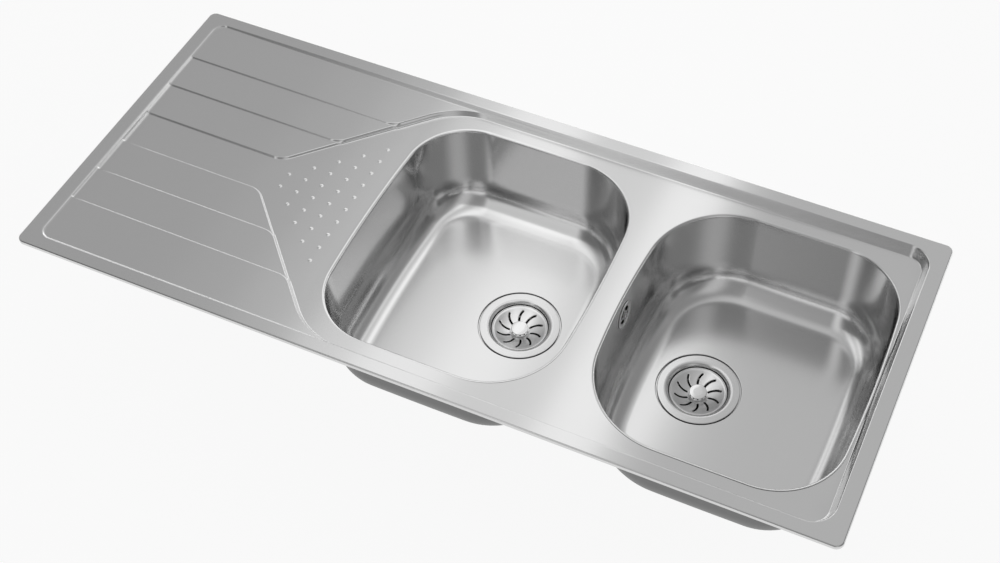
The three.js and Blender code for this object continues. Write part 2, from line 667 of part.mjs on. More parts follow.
function makeClampScrew(group, name) {
  const seat = -CUP_DEPTH + GAP;
  addPiece(group, name, turned([
    [0, seat - CLAMP_SCREW_LENGTH],
    [CLAMP_SCREW_RADIUS, seat - CLAMP_SCREW_LENGTH],
    [CLAMP_SCREW_RADIUS, seat],
    [CLAMP_SCREW_HEAD_RADIUS, seat],
    [CLAMP_SCREW_HEAD_RADIUS - 1, seat + CLAMP_SCREW_HEAD_HEIGHT],
    [0, seat + CLAMP_SCREW_HEAD_HEIGHT],
  ], SMALL_SEGMENTS), zincSteel);
}

// The outline of one curved slot with round ends, along a line that swirls as it runs out.
function slotOutline(turn) {
  const steps = 3;
  const middle = [];
  for (let i = 0; i <= steps; i++) {
    const share = i / steps;
    const radius = SLOT_INNER_RADIUS + share * (SLOT_OUTER_RADIUS - SLOT_INNER_RADIUS);
    const angle = turn + SLOT_SWIRL * share * share;
    middle.push(new THREE.Vector2(radius * Math.cos(angle), radius * Math.sin(angle)));
  }
  const sides = middle.map((point, i) => {
    const before = middle[Math.max(i - 1, 0)];
    const after = middle[Math.min(i + 1, steps)];
    const along = after.clone().sub(before).setLength(SLOT_WIDTH / 2);
    const across = new THREE.Vector2(-along.y, along.x);
    return [point.clone().sub(across), point.clone().add(across)];
  });
  const right = sides.map(([low]) => low);
  const left = sides.map(([, high]) => high).reverse();
  return [...right, ...left];
}

// The basket: a dished plate with swirling slots and a short skirt.
function makeBasket(group, name, turn) {
  const rimZ = -BASKET_RIM_DROP;
  const centreZ = -BASKET_CENTRE_DROP;
  const sheet = BASKET_SHEET;
  const plate = turned([
    [STEM_RADIUS + GAP, centreZ - sheet],
    [KNOB_RADIUS, centreZ - sheet],
    [BASKET_RADIUS - sheet, rimZ - sheet],
    [BASKET_RADIUS - sheet - 0.6, rimZ - BASKET_SKIRT],
    [BASKET_RADIUS - 0.6, rimZ - BASKET_SKIRT],
    [BASKET_RADIUS, rimZ - sheet / 2],
    [BASKET_RADIUS - sheet / 2, rimZ],
    [BASKET_RADIUS - 2, rimZ],
    [KNOB_RADIUS, centreZ],
    [STEM_RADIUS + GAP, centreZ],
  ]);
  const slots = [];
  for (let i = 0; i < BASKET_SLOTS; i++) {
    const outline = slotOutline(turn + (i / BASKET_SLOTS) * 2 * Math.PI);
    slots.push(prism(outline, centreZ - BEYOND, rimZ + 1));
  }
  addPiece(group, name, plate.subtract(unite(slots)), polishedSteel);
}

// The knob stands on the basket's middle.
function makeKnob(group, name) {
  const base = -BASKET_CENTRE_DROP + GAP;
  addPiece(group, name, turned([
    [0, base],
    [KNOB_RADIUS - 0.6, base],
    [KNOB_RADIUS, base + KNOB_HEIGHT - 1.6],
    [KNOB_RADIUS - 1.4, base + KNOB_HEIGHT - 0.2],
    [0, base + KNOB_HEIGHT],
  ]), polishedSteel);
}

// The rubber stopper with its stem, which the basket turns on.
function makeStopper(group, name) {
  const head = CLAMP_SCREW_HEAD_HEIGHT + 2 * GAP;
  addPiece(group, name, turned([
    [0, STOPPER_BOTTOM + head + GAP],
    [CLAMP_SCREW_HEAD_RADIUS + 1, STOPPER_BOTTOM + head + GAP],
    [CLAMP_SCREW_HEAD_RADIUS + 1.6, STOPPER_BOTTOM],
    [STOPPER_RADIUS, STOPPER_BOTTOM],
    [STOPPER_RADIUS, STOPPER_BOTTOM + 1.2],
    [STOPPER_RADIUS - 5, STOPPER_BOTTOM + STOPPER_THICKNESS],
    [STEM_RADIUS + 3, STOPPER_BOTTOM + STOPPER_THICKNESS + 1],
    [STEM_RADIUS + 1.5, -BASKET_CENTRE_DROP - BASKET_SHEET - GAP],
    [STEM_RADIUS, -BASKET_CENTRE_DROP - BASKET_SHEET - GAP],
    [STEM_RADIUS, -BASKET_CENTRE_DROP],
    [0, -BASKET_CENTRE_DROP],
  ]), rubber);
}

function makeWaste(side, drainX, slotTurn, withInlet) {
  const group = groupAt(drainX, 0, FLOOR_Z);
  const sealTop = -FLANGE_SHEET - GAP;
  const bodySealTop = SEAT_UNDERSIDE - GAP;
  makeFlange(group, `${side}_waste_flange`);
  addPiece(group, `${side}_flange_seal`,
    ring(DRAIN_HOLE_RADIUS + 0.5, FLANGE_RADIUS - 0.5, sealTop - FLANGE_SEAL_THICKNESS, sealTop), foam);
  addPiece(group, `${side}_body_seal`,
    ring(BODY_RADIUS - 1 - BODY_SEAL_WIDTH, BODY_RADIUS - 1,
      bodySealTop - BODY_SEAL_THICKNESS, bodySealTop), rubber);
  makeWasteBody(group, `${side}_waste_body`, withInlet);
  makeClampScrew(group, `${side}_clamp_screw`);
  makeStopper(group, `${side}_stopper`);
  makeBasket(group, `${side}_basket`, slotTurn);
  makeKnob(group, `${side}_basket_knob`);
}

// ---------------------------------------------------------------- overflow

// Heights along the overflow's axis, from the wall's inside face; the bowl is at +Z.
const OVERFLOW_SEAL_FACE = -SHEET - GAP;
const OVERFLOW_BODY_FACE = OVERFLOW_SEAL_FACE - OVERFLOW_SEAL_THICKNESS - GAP;
const PIPE_X = OVERFLOW_X + OVERFLOW_BODY_FACE - OVERFLOW_BODY_DEPTH / 2;
const PIPE_TOP_Z = OVERFLOW_Z - OVERFLOW_BODY_RADIUS - 10;

function makeRosette() {
  const disc = turned([
    [CLAMP_SCREW_RADIUS, GAP],
    [ROSETTE_RADIUS, GAP],
    [ROSETTE_RADIUS, GAP + 0.4],
    [ROSETTE_RADIUS - 2, GAP + ROSETTE_THICKNESS],
    [ROSETTE_RADIUS - 5, GAP + ROSETTE_SHEET],
    [CLAMP_SCREW_RADIUS, GAP + ROSETTE_SHEET],
  ]);
  const windows = [];
  for (let i = 0; i < 4; i++) {
    const edge = ROSETTE_BRIDGE / 2;
    const quarter = ring(WINDOW_INNER_RADIUS, WINDOW_OUTER_RADIUS, -1, BEYOND)
      .intersect(box(edge, ROSETTE_RADIUS, edge, ROSETTE_RADIUS, -2, BEYOND));
    windows.push(quarter.rotate([0, 0, 90 * i]));
  }
  addPiece(sink, 'overflow_rosette', againstWall(disc.subtract(unite(windows))), polishedSteel);
}

function makeOverflowScrew() {
  const headBase = 2 * GAP + ROSETTE_SHEET;
  addPiece(sink, 'overflow_screw', againstWall(turned([
    [0, OVERFLOW_BODY_FACE - 7],
    [CLAMP_SCREW_RADIUS - GAP, OVERFLOW_BODY_FACE - 7],
    [CLAMP_SCREW_RADIUS - GAP, headBase],
    [5, headBase],
    [4.2, headBase + 1.8],
    [0, headBase + 1.8],
  ], SMALL_SEGMENTS)), zincSteel);
}

// The moulded body behind the wall: a shallow cup with a screw boss and a spigot downwards.
function makeOverflowBody() {
  const face = OVERFLOW_BODY_FACE;
  const back = face - OVERFLOW_BODY_DEPTH;
  const cup = againstWall(turned([
    [0, back],
    [OVERFLOW_BODY_RADIUS, back],
    [OVERFLOW_BODY_RADIUS, face],
    [OVERFLOW_BODY_RADIUS - 5, face],
    [OVERFLOW_BODY_RADIUS - 5, back + 2],
    [0, back + 2],
  ]));
  const boss = againstWall(cylinder(5, back + 1, face, 0, 0, SMALL_SEGMENTS));
  const screwHole = againstWall(cylinder(CLAMP_SCREW_RADIUS, back + 4, face + 1, 0, 0, SMALL_SEGMENTS));
  const spigotTop = OVERFLOW_Z - OVERFLOW_BODY_RADIUS + 4;
  const bore = PIPE_RADIUS - PIPE_WALL - 1.5;
  const spigot = cylinder(PIPE_RADIUS - 2, PIPE_TOP_Z + GAP, spigotTop, PIPE_X, 0, SMALL_SEGMENTS);
  const hole = cylinder(bore, PIPE_TOP_Z - 1, OVERFLOW_Z - 8, PIPE_X, 0, SMALL_SEGMENTS);
  const body = cup.add(spigot).subtract(hole).add(boss).subtract(screwHole);
  addPiece(sink, 'overflow_body', body, blackPlastic);
}

// The rigid pipe: straight down between the bowls, then a bend to the waste's side inlet.
function makeOverflowPipe(drainX) {
  const inletZ = FLOOR_Z - INLET_DROP;
  const endX = drainX - CHAMBER_RADIUS - BODY_WALL - INLET_LENGTH - GAP;
  const bendX = PIPE_X + PIPE_BEND_RADIUS;
  const bendZ = inletZ + PIPE_BEND_RADIUS;
  // Rings across the pipe: turned by 0 where it runs down and by 90 degrees where it runs along X.
  const swept = (radius, beyond) => {
    const ringAt = (x, z, turn) => arcPoints(0, 0, radius, 0, 2 * Math.PI, SMALL_SEGMENTS).slice(1)
      .map((p) => new THREE.Vector3(x - p.x * Math.cos(turn), p.y, z - p.x * Math.sin(turn)));
    const rings = [ringAt(PIPE_X, PIPE_TOP_Z + beyond, 0)];
    for (let i = 0; i <= BEND_SEGMENTS; i++) {
      const turn = (Math.PI / 2) * (i / BEND_SEGMENTS);
      rings.push(ringAt(
        bendX - PIPE_BEND_RADIUS * Math.cos(turn), bendZ - PIPE_BEND_RADIUS * Math.sin(turn), turn));
    }
    rings.push(ringAt(endX + beyond, inletZ, Math.PI / 2));
    return lofted(rings);
  };
  const pipe = swept(PIPE_RADIUS, 0).subtract(swept(PIPE_RADIUS - PIPE_WALL, 1));
  addPiece(sink, 'overflow_pipe', pipe, blackPlastic);
  const nut = cylinder(NUT_RADIUS, -NUT_HEIGHT / 2, NUT_HEIGHT / 2, 0, 0, 12)
    .subtract(cylinder(PIPE_RADIUS + GAP, -NUT_HEIGHT, NUT_HEIGHT))
    .rotate([0, 90, 0])
    .translate([endX, 0, inletZ]);
  addPiece(sink, 'overflow_nut', nut, blackPlastic);
}

// ---------------------------------------------------------------- under the rim

function makeRimSeal() {
  const outer = rimOutline(-SHEET - GAP);
  const inner = rimOutline(-SHEET - GAP - SEAL_WIDTH);
  const top = RIM_UNDERSIDE - GAP;
  addPiece(sink, 'rim_seal', prism(outer, 0, top).subtract(prism(inner, -1, top + 1)), foam);
}

// A rail's section in its own frame: Y outwards from the rail's inner face, Z up.
function railSection() {
  const top = RIM_UNDERSIDE - GAP;
  return [
    [0, top - RAIL_DEPTH], [RAIL_SHEET, top - RAIL_DEPTH], [RAIL_SHEET, top - RAIL_SHEET],
    [RAIL_SHEET + RAIL_FOOT, top - RAIL_SHEET], [RAIL_SHEET + RAIL_FOOT, top], [0, top],
  ];
}

// A section of [outwards, up] points, extruded along X and centred on it.
function alongX(section, length) {
  const geometry = new THREE.ExtrudeGeometry(
    new THREE.Shape(section.map(([y, z]) => new THREE.Vector2(y, z))),
    { depth: length, bevelEnabled: false });
  geometry.rotateX(Math.PI / 2);
  geometry.rotateZ(Math.PI / 2);
  geometry.translate(-length / 2, 0, 0);
  return solid(geometry);
}

// Each side of the rim: which way it faces, its outline's distance from the centre and its
// length, and how far inside its rail the clips' screws are.
const SIDES = {
  back: { turn: 0, reach: WIDTH / 2, span: LENGTH, clipInset: SIDE_CLIP_INSET },
  left: { turn: Math.PI / 2, reach: LENGTH / 2, span: WIDTH, clipInset: END_CLIP_INSET },
  front: { turn: Math.PI, reach: WIDTH / 2, span: LENGTH, clipInset: SIDE_CLIP_INSET },
  right: { turn: -Math.PI / 2, reach: LENGTH / 2, span: WIDTH, clipInset: END_CLIP_INSET },
};

// A group whose +Y points out of that side of the rim, at a place along the side.
function sideGroup(side, along) {
  const outer = new THREE.Group();
  outer.rotation.z = SIDES[side].turn;
  const inner = new THREE.Group();
  inner.position.set(along, SIDES[side].reach - RAIL_INSET - RAIL_SHEET, 0);
  outer.add(inner);
  sink.add(outer);
  return inner;
}

function makeRail(side) {
  const rail = alongX(railSection(), SIDES[side].span - 2 * RAIL_END_GAP);
  addPiece(sideGroup(side, 0), `${side}_rail`, rail, zincSteel);
}

// A clip: a bracket hooked over the rail, a screw in its shelf, and a claw on the screw.
function makeClip(side, number, along) {
  const group = sideGroup(side, along);
  const name = `clip_${side}_${number}`;
  const inset = SIDES[side].clipInset;
  const shelfReach = inset + CLIP_SHELF_BEYOND_SCREW;
  const clawReach = inset + CLAW_BEYOND_RAIL;
  const railFoot = RIM_UNDERSIDE - GAP - RAIL_DEPTH;
  const out = RAIL_SHEET + GAP;
  const webTop = railFoot - GAP;
  const shelfTop = railFoot - CLIP_SHELF_DEPTH - GAP;
  const bracketTop = railFoot + CLIP_HOOK_HEIGHT + 3;
  const bracket = alongX([
    [out, bracketTop], [out, webTop], [-GAP, webTop], [-GAP, railFoot + CLIP_HOOK_HEIGHT],
    [-GAP - CLIP_SHEET, railFoot + CLIP_HOOK_HEIGHT], [-GAP - CLIP_SHEET, webTop - CLIP_SHEET],
    [out, webTop - CLIP_SHEET], [out, shelfTop], [-shelfReach, shelfTop],
    [-shelfReach, shelfTop - CLIP_SHEET], [out + CLIP_SHEET, shelfTop - CLIP_SHEET],
    [out + CLIP_SHEET, bracketTop],
  ], CLIP_WIDTH);
  const screwHole = cylinder(
    CLIP_SCREW_RADIUS + GAP, shelfTop - 3, shelfTop + 3, 0, -inset, SCREW_SEGMENTS);
  addPiece(group, `${name}_bracket`, bracket.subtract(screwHole), zincSteel);

  const screwTop = shelfTop + CLIP_SCREW_ABOVE_SHELF;
  const headTop = screwTop - CLIP_SCREW_LENGTH;
  const screw = turned([
    [0, headTop - CLIP_HEAD_HEIGHT],
    [CLIP_HEAD_RADIUS, headTop - CLIP_HEAD_HEIGHT],
    [CLIP_HEAD_RADIUS, headTop],
    [CLIP_SCREW_RADIUS, headTop],
    [CLIP_SCREW_RADIUS, screwTop],
    [0, screwTop],
  ], SCREW_SEGMENTS);
  addPiece(group, `${name}_screw`, screw.translate([0, -inset, 0]), zincSteel);

  const clawBase = headTop + GAP;
  const hub = cylinder(CLAW_WIDTH / 2, clawBase, clawBase + CLAW_THICKNESS, 0, 0, SMALL_SEGMENTS);
  const arm = box(0, clawReach, -CLAW_WIDTH / 2, CLAW_WIDTH / 2, clawBase, clawBase + CLAW_THICKNESS);
  const tip = box(
    clawReach - CLAW_THICKNESS, clawReach, -CLAW_WIDTH / 2, CLAW_WIDTH / 2,
    clawBase, clawBase + CLAW_TIP_HEIGHT);
  const clawHole = cylinder(
    CLIP_SCREW_RADIUS + GAP, clawBase - 1, clawBase + BEYOND, 0, 0, SCREW_SEGMENTS);
  const claw = unite([hub, arm, tip]).subtract(clawHole).translate([0, -inset, 0]);
  addPiece(group, `${name}_claw`, claw, zincSteel);
}

// ---------------------------------------------------------------- the whole sink

const LEFT_DRAIN_X = LEFT_BOWL_X + DRAIN_OFFSET;
const RIGHT_DRAIN_X = RIGHT_BOWL_X - DRAIN_OFFSET;

makeDeck();
makeBowl('left_bowl', LEFT_BOWL_X, LEFT_DRAIN_X, false);
makeBowl('right_bowl', RIGHT_BOWL_X, RIGHT_DRAIN_X, true);
makePad('left_sound_pad', LEFT_BOWL_X, LEFT_DRAIN_X);
makePad('right_sound_pad', RIGHT_BOWL_X, RIGHT_DRAIN_X);
makeRimSeal();

makeWaste('left', LEFT_DRAIN_X, THREE.MathUtils.degToRad(10), false);
makeWaste('right', RIGHT_DRAIN_X, THREE.MathUtils.degToRad(3), true);
makeRosette();
makeOverflowScrew();
addPiece(sink, 'overflow_seal', againstWall(ring(
  OVERFLOW_HOLE_RADIUS, OVERFLOW_BODY_RADIUS, OVERFLOW_SEAL_FACE - OVERFLOW_SEAL_THICKNESS,
  OVERFLOW_SEAL_FACE)), rubber);
makeOverflowBody();
makeOverflowPipe(RIGHT_DRAIN_X);

for (const side of Object.keys(SIDES)) makeRail(side);
const outerClipX = LENGTH / 2 - CLIP_END_DISTANCE;
for (const side of ['front', 'back']) {
  [-outerClipX, 0, outerClipX].forEach((x, i) => makeClip(side, i + 1, side === 'front' ? -x : x));
}
makeClip('left', 1, 0);
makeClip('right', 1, 0);

export default sink;
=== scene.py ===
# %% [markdown]
# # A double bowl kitchen sink in satin steel
#
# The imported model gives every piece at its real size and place. It is made of flat
# facets, so this lesson builds the pieces that show again, as smooth pressed sheet, and
# gives each of them the finish that the real one has. Everything is in metres, but the
# shapes are thought out in millimetres, because that is how a sink maker draws them.

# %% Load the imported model
import math

import bmesh
import bpy
import numpy as np
from mathutils import Matrix, Vector
from mathutils.geometry import delaunay_2d_cdt
from mathutils.kdtree import KDTree


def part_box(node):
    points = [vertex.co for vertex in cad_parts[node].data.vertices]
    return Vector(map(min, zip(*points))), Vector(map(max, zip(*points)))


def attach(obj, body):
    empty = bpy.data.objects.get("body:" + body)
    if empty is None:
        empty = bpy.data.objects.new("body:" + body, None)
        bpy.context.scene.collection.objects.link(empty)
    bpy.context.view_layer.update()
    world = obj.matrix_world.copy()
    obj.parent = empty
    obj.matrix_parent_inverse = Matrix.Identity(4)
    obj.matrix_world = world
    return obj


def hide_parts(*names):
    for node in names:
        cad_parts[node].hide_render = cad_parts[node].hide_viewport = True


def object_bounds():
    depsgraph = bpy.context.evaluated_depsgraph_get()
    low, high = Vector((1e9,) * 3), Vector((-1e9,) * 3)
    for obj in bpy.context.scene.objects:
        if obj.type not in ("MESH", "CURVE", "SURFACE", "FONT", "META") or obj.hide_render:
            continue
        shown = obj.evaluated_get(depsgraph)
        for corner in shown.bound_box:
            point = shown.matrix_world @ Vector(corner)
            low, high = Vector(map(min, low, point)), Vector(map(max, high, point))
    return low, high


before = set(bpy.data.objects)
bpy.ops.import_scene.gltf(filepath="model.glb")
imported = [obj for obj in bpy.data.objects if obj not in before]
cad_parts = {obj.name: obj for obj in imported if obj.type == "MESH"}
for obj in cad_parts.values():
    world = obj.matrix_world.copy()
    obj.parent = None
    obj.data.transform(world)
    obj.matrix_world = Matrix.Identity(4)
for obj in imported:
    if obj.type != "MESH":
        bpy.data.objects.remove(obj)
cad_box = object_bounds()
MM = 0.001


def corners(node):
    """The lowest and the highest corner of a node, in millimetres."""
    low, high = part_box(node)
    return Vector(low) / MM, Vector(high) / MM


print("model box in metres:", [[round(v, 4) for v in corner] for corner in cad_box])

# %% [markdown]
# ## Sizes that the pieces share
#
# What can be read from the model is read from it: the outline of the deck, where the
# bowls and the drains lie and how deep they are. What the facets can't tell, such as
# where the recess begins, is a size of its own here.

# %% The deck's and the bowls' sizes
SIDES = ("left", "right")
deck_high = corners("deck")[1]
HALF_LENGTH = deck_high.x
HALF_WIDTH = deck_high.y
RIM_Z = deck_high.z
RIM_EDGE = 2.4  # rounding of the rim's upper edge
RECESS_HALF_X = HALF_LENGTH - 22.2
RECESS_HALF_Y = HALF_WIDTH - 20.2
# Half the length, half the width, and the corners' radius on the left and on the right.
RIM = (HALF_LENGTH, HALF_WIDTH, 11.0, 11.0)
RECESS = (RECESS_HALF_X, RECESS_HALF_Y, 17.0, 32.0)
WALL_RUN = 0.48  # a pressed wall leans in this much for each millimetre of drop
DECK_DROP = 14.6
DECK_Z = RIM_Z - DECK_DROP
SHEET = 1.0

BOWLS = {side: corners(f"{side}_bowl") for side in SIDES}
EDGE_ROLL = 4.0  # rounding where a bowl leaves the deck
LEFT_BOWL_START = BOWLS["left"][0].x + EDGE_ROLL
RIGHT_BOWL_START = BOWLS["right"][0].x + EDGE_ROLL
BOWL_HALF_Y = (BOWLS["left"][1].y - BOWLS["left"][0].y) / 2 - EDGE_ROLL
BOWL_SIDE_RADIUS = 8000.0  # the back and front of an opening are nearly straight
BOWL_DRAFT = math.radians(2.4)
FLOOR_FILLET = (42.0, 53.0)  # how far the rounding at the floor reaches inwards and up
FLOOR_Z = corners("left_waste_flange")[1].z
FLANGES = {side: corners(f"{side}_waste_flange") for side in SIDES}
DRAIN_X = {side: (low.x + high.x) / 2 for side, (low, high) in FLANGES.items()}
print("outline", 2 * HALF_LENGTH, "by", 2 * HALF_WIDTH, "mm; bowls start at x =",
      round(LEFT_BOWL_START, 2), round(RIGHT_BOWL_START, 2))
print("drains at x =", DRAIN_X, "and floor at z =", round(FLOOR_Z, 2))

# %% [markdown]
# ## The camera
#
# The picture was taken from above and a little to the right, with the middle of the lens
# a bit right of the picture's middle. The place, direction and lens were worked out from
# the rim, the steps of the drainer and the two round drains, whose true shapes are known.

# %% Place the camera
CAMERA_PLACE = Vector((640.3, -1193.3, 1607.4)) * MM
CAMERA_LOOK = Vector((-0.2554, 0.5711, -0.7801))
CAMERA_RIGHT = Vector((0.9135, 0.4068, -0.0013))
LENS_PER_WIDTH = 1.5595  # focal length as a share of the picture's width
LENS_CENTRE_SHARE = 0.5565  # where the lens's axis meets the picture, from its left side


def add_camera():
    data = bpy.data.cameras.new("camera")
    data.sensor_width = 36.0
    data.lens = LENS_PER_WIDTH * data.sensor_width
    data.shift_x = 0.5 - LENS_CENTRE_SHARE
    data.clip_start = 0.01
    camera = bpy.data.objects.new("camera", data)
    bpy.context.scene.collection.objects.link(camera)
    back = -CAMERA_LOOK.normalized()
    right = (CAMERA_RIGHT - back * CAMERA_RIGHT.dot(back)).normalized()
    up = back.cross(right)
    turn = Matrix((right, up, back)).transposed().to_4x4()
    camera.matrix_world = Matrix.Translation(CAMERA_PLACE) @ turn
    bpy.context.scene.camera = camera
    return camera


camera = add_camera()
print("camera at", [round(v, 3) for v in camera.matrix_world.translation])

# %% [markdown]
# ## Writing materials as sums
#
# A material is a small net of nodes. Wiring it by hand hides the idea, so one class wraps
# a node's socket and lets it be added and multiplied like a number: each sign makes its
# Math node. Any other node comes from the material's `node` method.

# %% A socket that can be used in sums
class Socket:
    """The output of a node, with the sums that the materials use."""

    def __init__(self, material, link):
        self.material = material
        self.link = link

    def _math(self, operation, first, second):
        return self.material.node("ShaderNodeMath", {"operation": operation}, {0: first, 1: second})

    def __add__(self, other):
        return self._math("ADD", self, other)

    def __sub__(self, other):
        return self._math("SUBTRACT", self, other)

    def __rsub__(self, other):
        return self._math("SUBTRACT", other, self)

    def __mul__(self, other):
        return self._math("MULTIPLY", self, other)

    def __pow__(self, other):
        return self._math("POWER", self, other)


# %% A material that hands out nodes
class Finish:
    """A material for one finish, built from nodes and sums of sockets."""

    def __init__(self, name):
        self.material = bpy.data.materials.new(name)
        self.material.use_nodes = True
        self.tree = self.material.node_tree
        self.shader = self.tree.nodes["Principled BSDF"]
        place = self.node("ShaderNodeTexCoord", output="Object")
        self.place = self.node("ShaderNodeVectorMath", {"operation": "SCALE"}, {0: place, "Scale": 1 / MM})

    def put(self, socket, value):
        if isinstance(value, Socket):
            self.tree.links.new(value.link, socket)
        else:
            socket.default_value = value

    def node(self, kind, settings=None, inputs=None, output=0):
        """Makes a node and gives its output, or several of them for a tuple of names."""
        made = self.tree.nodes.new(kind)
        for name, value in (settings or {}).items():
            setattr(made, name, value)
        for name, value in (inputs or {}).items():
            self.put(made.inputs[name], value)
        if isinstance(output, tuple):
            return [Socket(self, made.outputs[name]) for name in output]
        return Socket(self, made.outputs[output])

    def stretched(self, across):
        """Places divided by a size in millimetres along each axis."""
        shares = tuple(1 / size for size in across)
        return self.node("ShaderNodeVectorMath", {"operation": "MULTIPLY"}, {0: self.place, 1: shares})

    def noise(self, across, detail=3.0, roughness=0.55):
        inputs = {"Vector": self.stretched(across), "Scale": 1.0, "Detail": detail, "Roughness": roughness}
        return self.node("ShaderNodeTexNoise", {"normalize": True}, inputs)

    def mix(self, factor, first, second):
        settings = {"data_type": "RGBA", "blend_type": "MIX"}
        inputs = {0: factor, 6: (*first, 1) if isinstance(first, tuple) else first,
                  7: (*second, 1) if isinstance(second, tuple) else second}
        return self.node("ShaderNodeMix", settings, inputs, output=2)

    def bump(self, height, distance, strength=1.0):
        inputs = {"Strength": strength, "Distance": distance * MM, "Height": height}
        return self.node("ShaderNodeBump", None, inputs)

    def coat(self, **sockets):
        """Sets the shader's sockets, whose names are written with _ for a blank."""
        for name, value in sockets.items():
            self.put(self.shader.inputs[name.replace("_", " ").title()], value)
        return self


# %% [markdown]
# ## The finishes
#
# The sheet is satin stainless steel: fine scratches along its length make it rough in
# one way and keep its reflections soft. The scratches are noise stretched along the
# brushing. They are far finer than the picture's pixels, so they mostly work through the
# roughness, and show as themselves only close up.

# %% Satin steel
def grey(tone):
    return (tone, tone, tone)


STEEL = grey(0.705)
STEEL_DARK = grey(0.675)
BOWL_TONES = (grey(0.71), grey(0.73))
UNDER_TONES = (grey(0.17), grey(0.21))  # the sheet's back, which nobody polishes


def brushed(name, along, roughness, depth, dark=STEEL_DARK, light=STEEL):
    """Steel whose scratches are `along` millimetres long in X, Y and Z."""
    finish = Finish(name)
    scratches = finish.noise(along, detail=4.0, roughness=0.7)
    clouds = finish.noise((140, 140, 140), detail=2.0)
    tone = finish.mix(scratches * 0.7 + clouds * 0.3, dark, light)
    rough = (scratches - 0.5) * 0.05 + (clouds - 0.5) * 0.02 + roughness
    finish.coat(base_color=tone, metallic=1.0, roughness=rough,
                normal=finish.bump(scratches, depth, 0.3))
    return finish


def drawn(name, along, wall_roughness, floor_roughness, depth):
    """Brushed steel that is glossier on upright walls than on the flat floor."""
    finish = brushed(name, along, floor_roughness, depth, *BOWL_TONES)
    normal = finish.node("ShaderNodeNewGeometry", output="Normal")
    upwards = finish.node("ShaderNodeSeparateXYZ", None, {0: normal}, "Z")
    flat = finish.node("ShaderNodeMath", {"operation": "ABSOLUTE"}, {0: upwards}) ** 0.8
    grain = finish.noise(along, detail=4.0, roughness=0.7)
    rough = flat * (floor_roughness - wall_roughness) + wall_roughness + (grain - 0.5) * 0.012
    return finish.coat(roughness=rough)


deck_steel = brushed("deck_satin_steel", (90, 0.5, 0.5), 0.2, 0.0012).material
bowl_steel = drawn("bowl_satin_steel", (0.6, 0.6, 40), 0.11, 0.22, 0.00012).material
flange_steel = brushed("flange_satin_steel", (3, 3, 0.8), 0.2, 0.0015).material
under_steel = brushed("unpolished_steel", (8, 8, 8), 0.42, 0.01, *UNDER_TONES).material


# %% Polished steel and zinc
def polished(name, tone, roughness):
    finish = Finish(name)
    clouds = finish.noise((9, 9, 9), detail=3.0)
    finish.coat(base_color=finish.mix(clouds, tuple(0.94 * c for c in tone), tone), metallic=1.0,
                roughness=(clouds - 0.5) * 0.06 + roughness,
                normal=finish.bump(finish.noise((2.5, 2.5, 2.5)), 0.004, 0.2))
    return finish.material


bright_steel = polished("polished_steel", grey(0.79), 0.17)
basket_steel = polished("stamped_steel", grey(0.92), 0.3)
cover_steel = polished("satin_steel", grey(0.9), 0.5)
zinc = polished("zinc_plate", (0.62, 0.64, 0.66), 0.34)


# %% Plastic, rubber, foam and the sound pads
def moulded(name, tone, roughness, grain, depth):
    """A dull material with a grain of the given size and depth in millimetres."""
    finish = Finish(name)
    grit = finish.noise((grain, grain, grain), detail=4.0)
    clouds = finish.noise((30, 30, 30), detail=2.0)
    darker = tuple(0.72 * c for c in tone)
    finish.coat(base_color=finish.mix(clouds * 0.6 + grit * 0.4, darker, tone),
                roughness=(grit - 0.5) * 0.16 + roughness,
                normal=finish.bump(grit, depth, 0.6))
    return finish.material


black_plastic = moulded("black_plastic", (0.045, 0.046, 0.05), 0.42, 0.9, 0.03)
black_rubber = moulded("black_rubber", (0.03, 0.03, 0.031), 0.66, 0.6, 0.03)
grey_foam = moulded("grey_foam", (0.13, 0.132, 0.135), 0.95, 0.9, 0.2)
pad_felt = moulded("sound_pad_face", (0.17, 0.172, 0.178), 0.88, 1.6, 0.25)
print("finishes:", [m.name for m in (deck_steel, bowl_steel, flange_steel, under_steel, bright_steel,
                                     basket_steel, cover_steel, zinc, black_plastic, black_rubber,
                                     grey_foam, pad_felt)])

# %% [markdown]
# ## Outlines
#
# Both the recess and the bowls are closed outlines with round corners. A sheet is pressed
# into shape along them, so the same outline is needed at many distances from itself.
# `grow` moves it outwards; the corners keep their centres and change their radius.

# %% Arcs and outlines
def arc(cx, cy, radius, start, end, count):
    turns = np.linspace(start, end, count + 1)
    return np.column_stack((cx + radius * np.cos(turns), cy + radius * np.sin(turns)))


def bend(x, z, across, up, start, end, count):
    """(x, z) points of an ellipse round a centre, from one angle to another."""
    return [(x + across * math.cos(t), z + up * math.sin(t)) for t in np.linspace(start, end, count)]


def circle(radius, count, x=0.0, y=0.0):
    return arc(x, y, radius, 0, 2 * math.pi, count)[:-1]


def unit(vectors):
    """Vectors, one in each row, at length one."""
    return vectors / np.linalg.norm(vectors, axis=1)[:, None]


def divided(points, longest):
    """An open line with points added so that no stretch is over `longest`."""
    made = [points[:1]]
    for start, end in zip(points[:-1], points[1:]):
        count = max(1, math.ceil(np.linalg.norm(end - start) / longest))
        shares = np.arange(1, count + 1)[:, None] / count
        made.append(start + (end - start) * shares)
    return np.vstack(made)


def rounded_rectangle(half_x, half_y, left, right, grow, count=14, longest=60.0):
    x, y = half_x + grow, half_y + grow
    left, right = left + grow, right + grow
    quarter = math.pi / 2
    points = np.vstack((
        arc(x - right, y - right, right, 0, quarter, count),
        arc(-x + left, y - left, left, quarter, 2 * quarter, count),
        arc(-x + left, -y + left, left, 2 * quarter, 3 * quarter, count),
        arc(x - right, -y + right, right, 3 * quarter, 4 * quarter, count),
    ))
    return divided(np.vstack((points, points[:1])), longest)[:-1]


def rim_outline(grow):
    return rounded_rectangle(*RIM, grow)


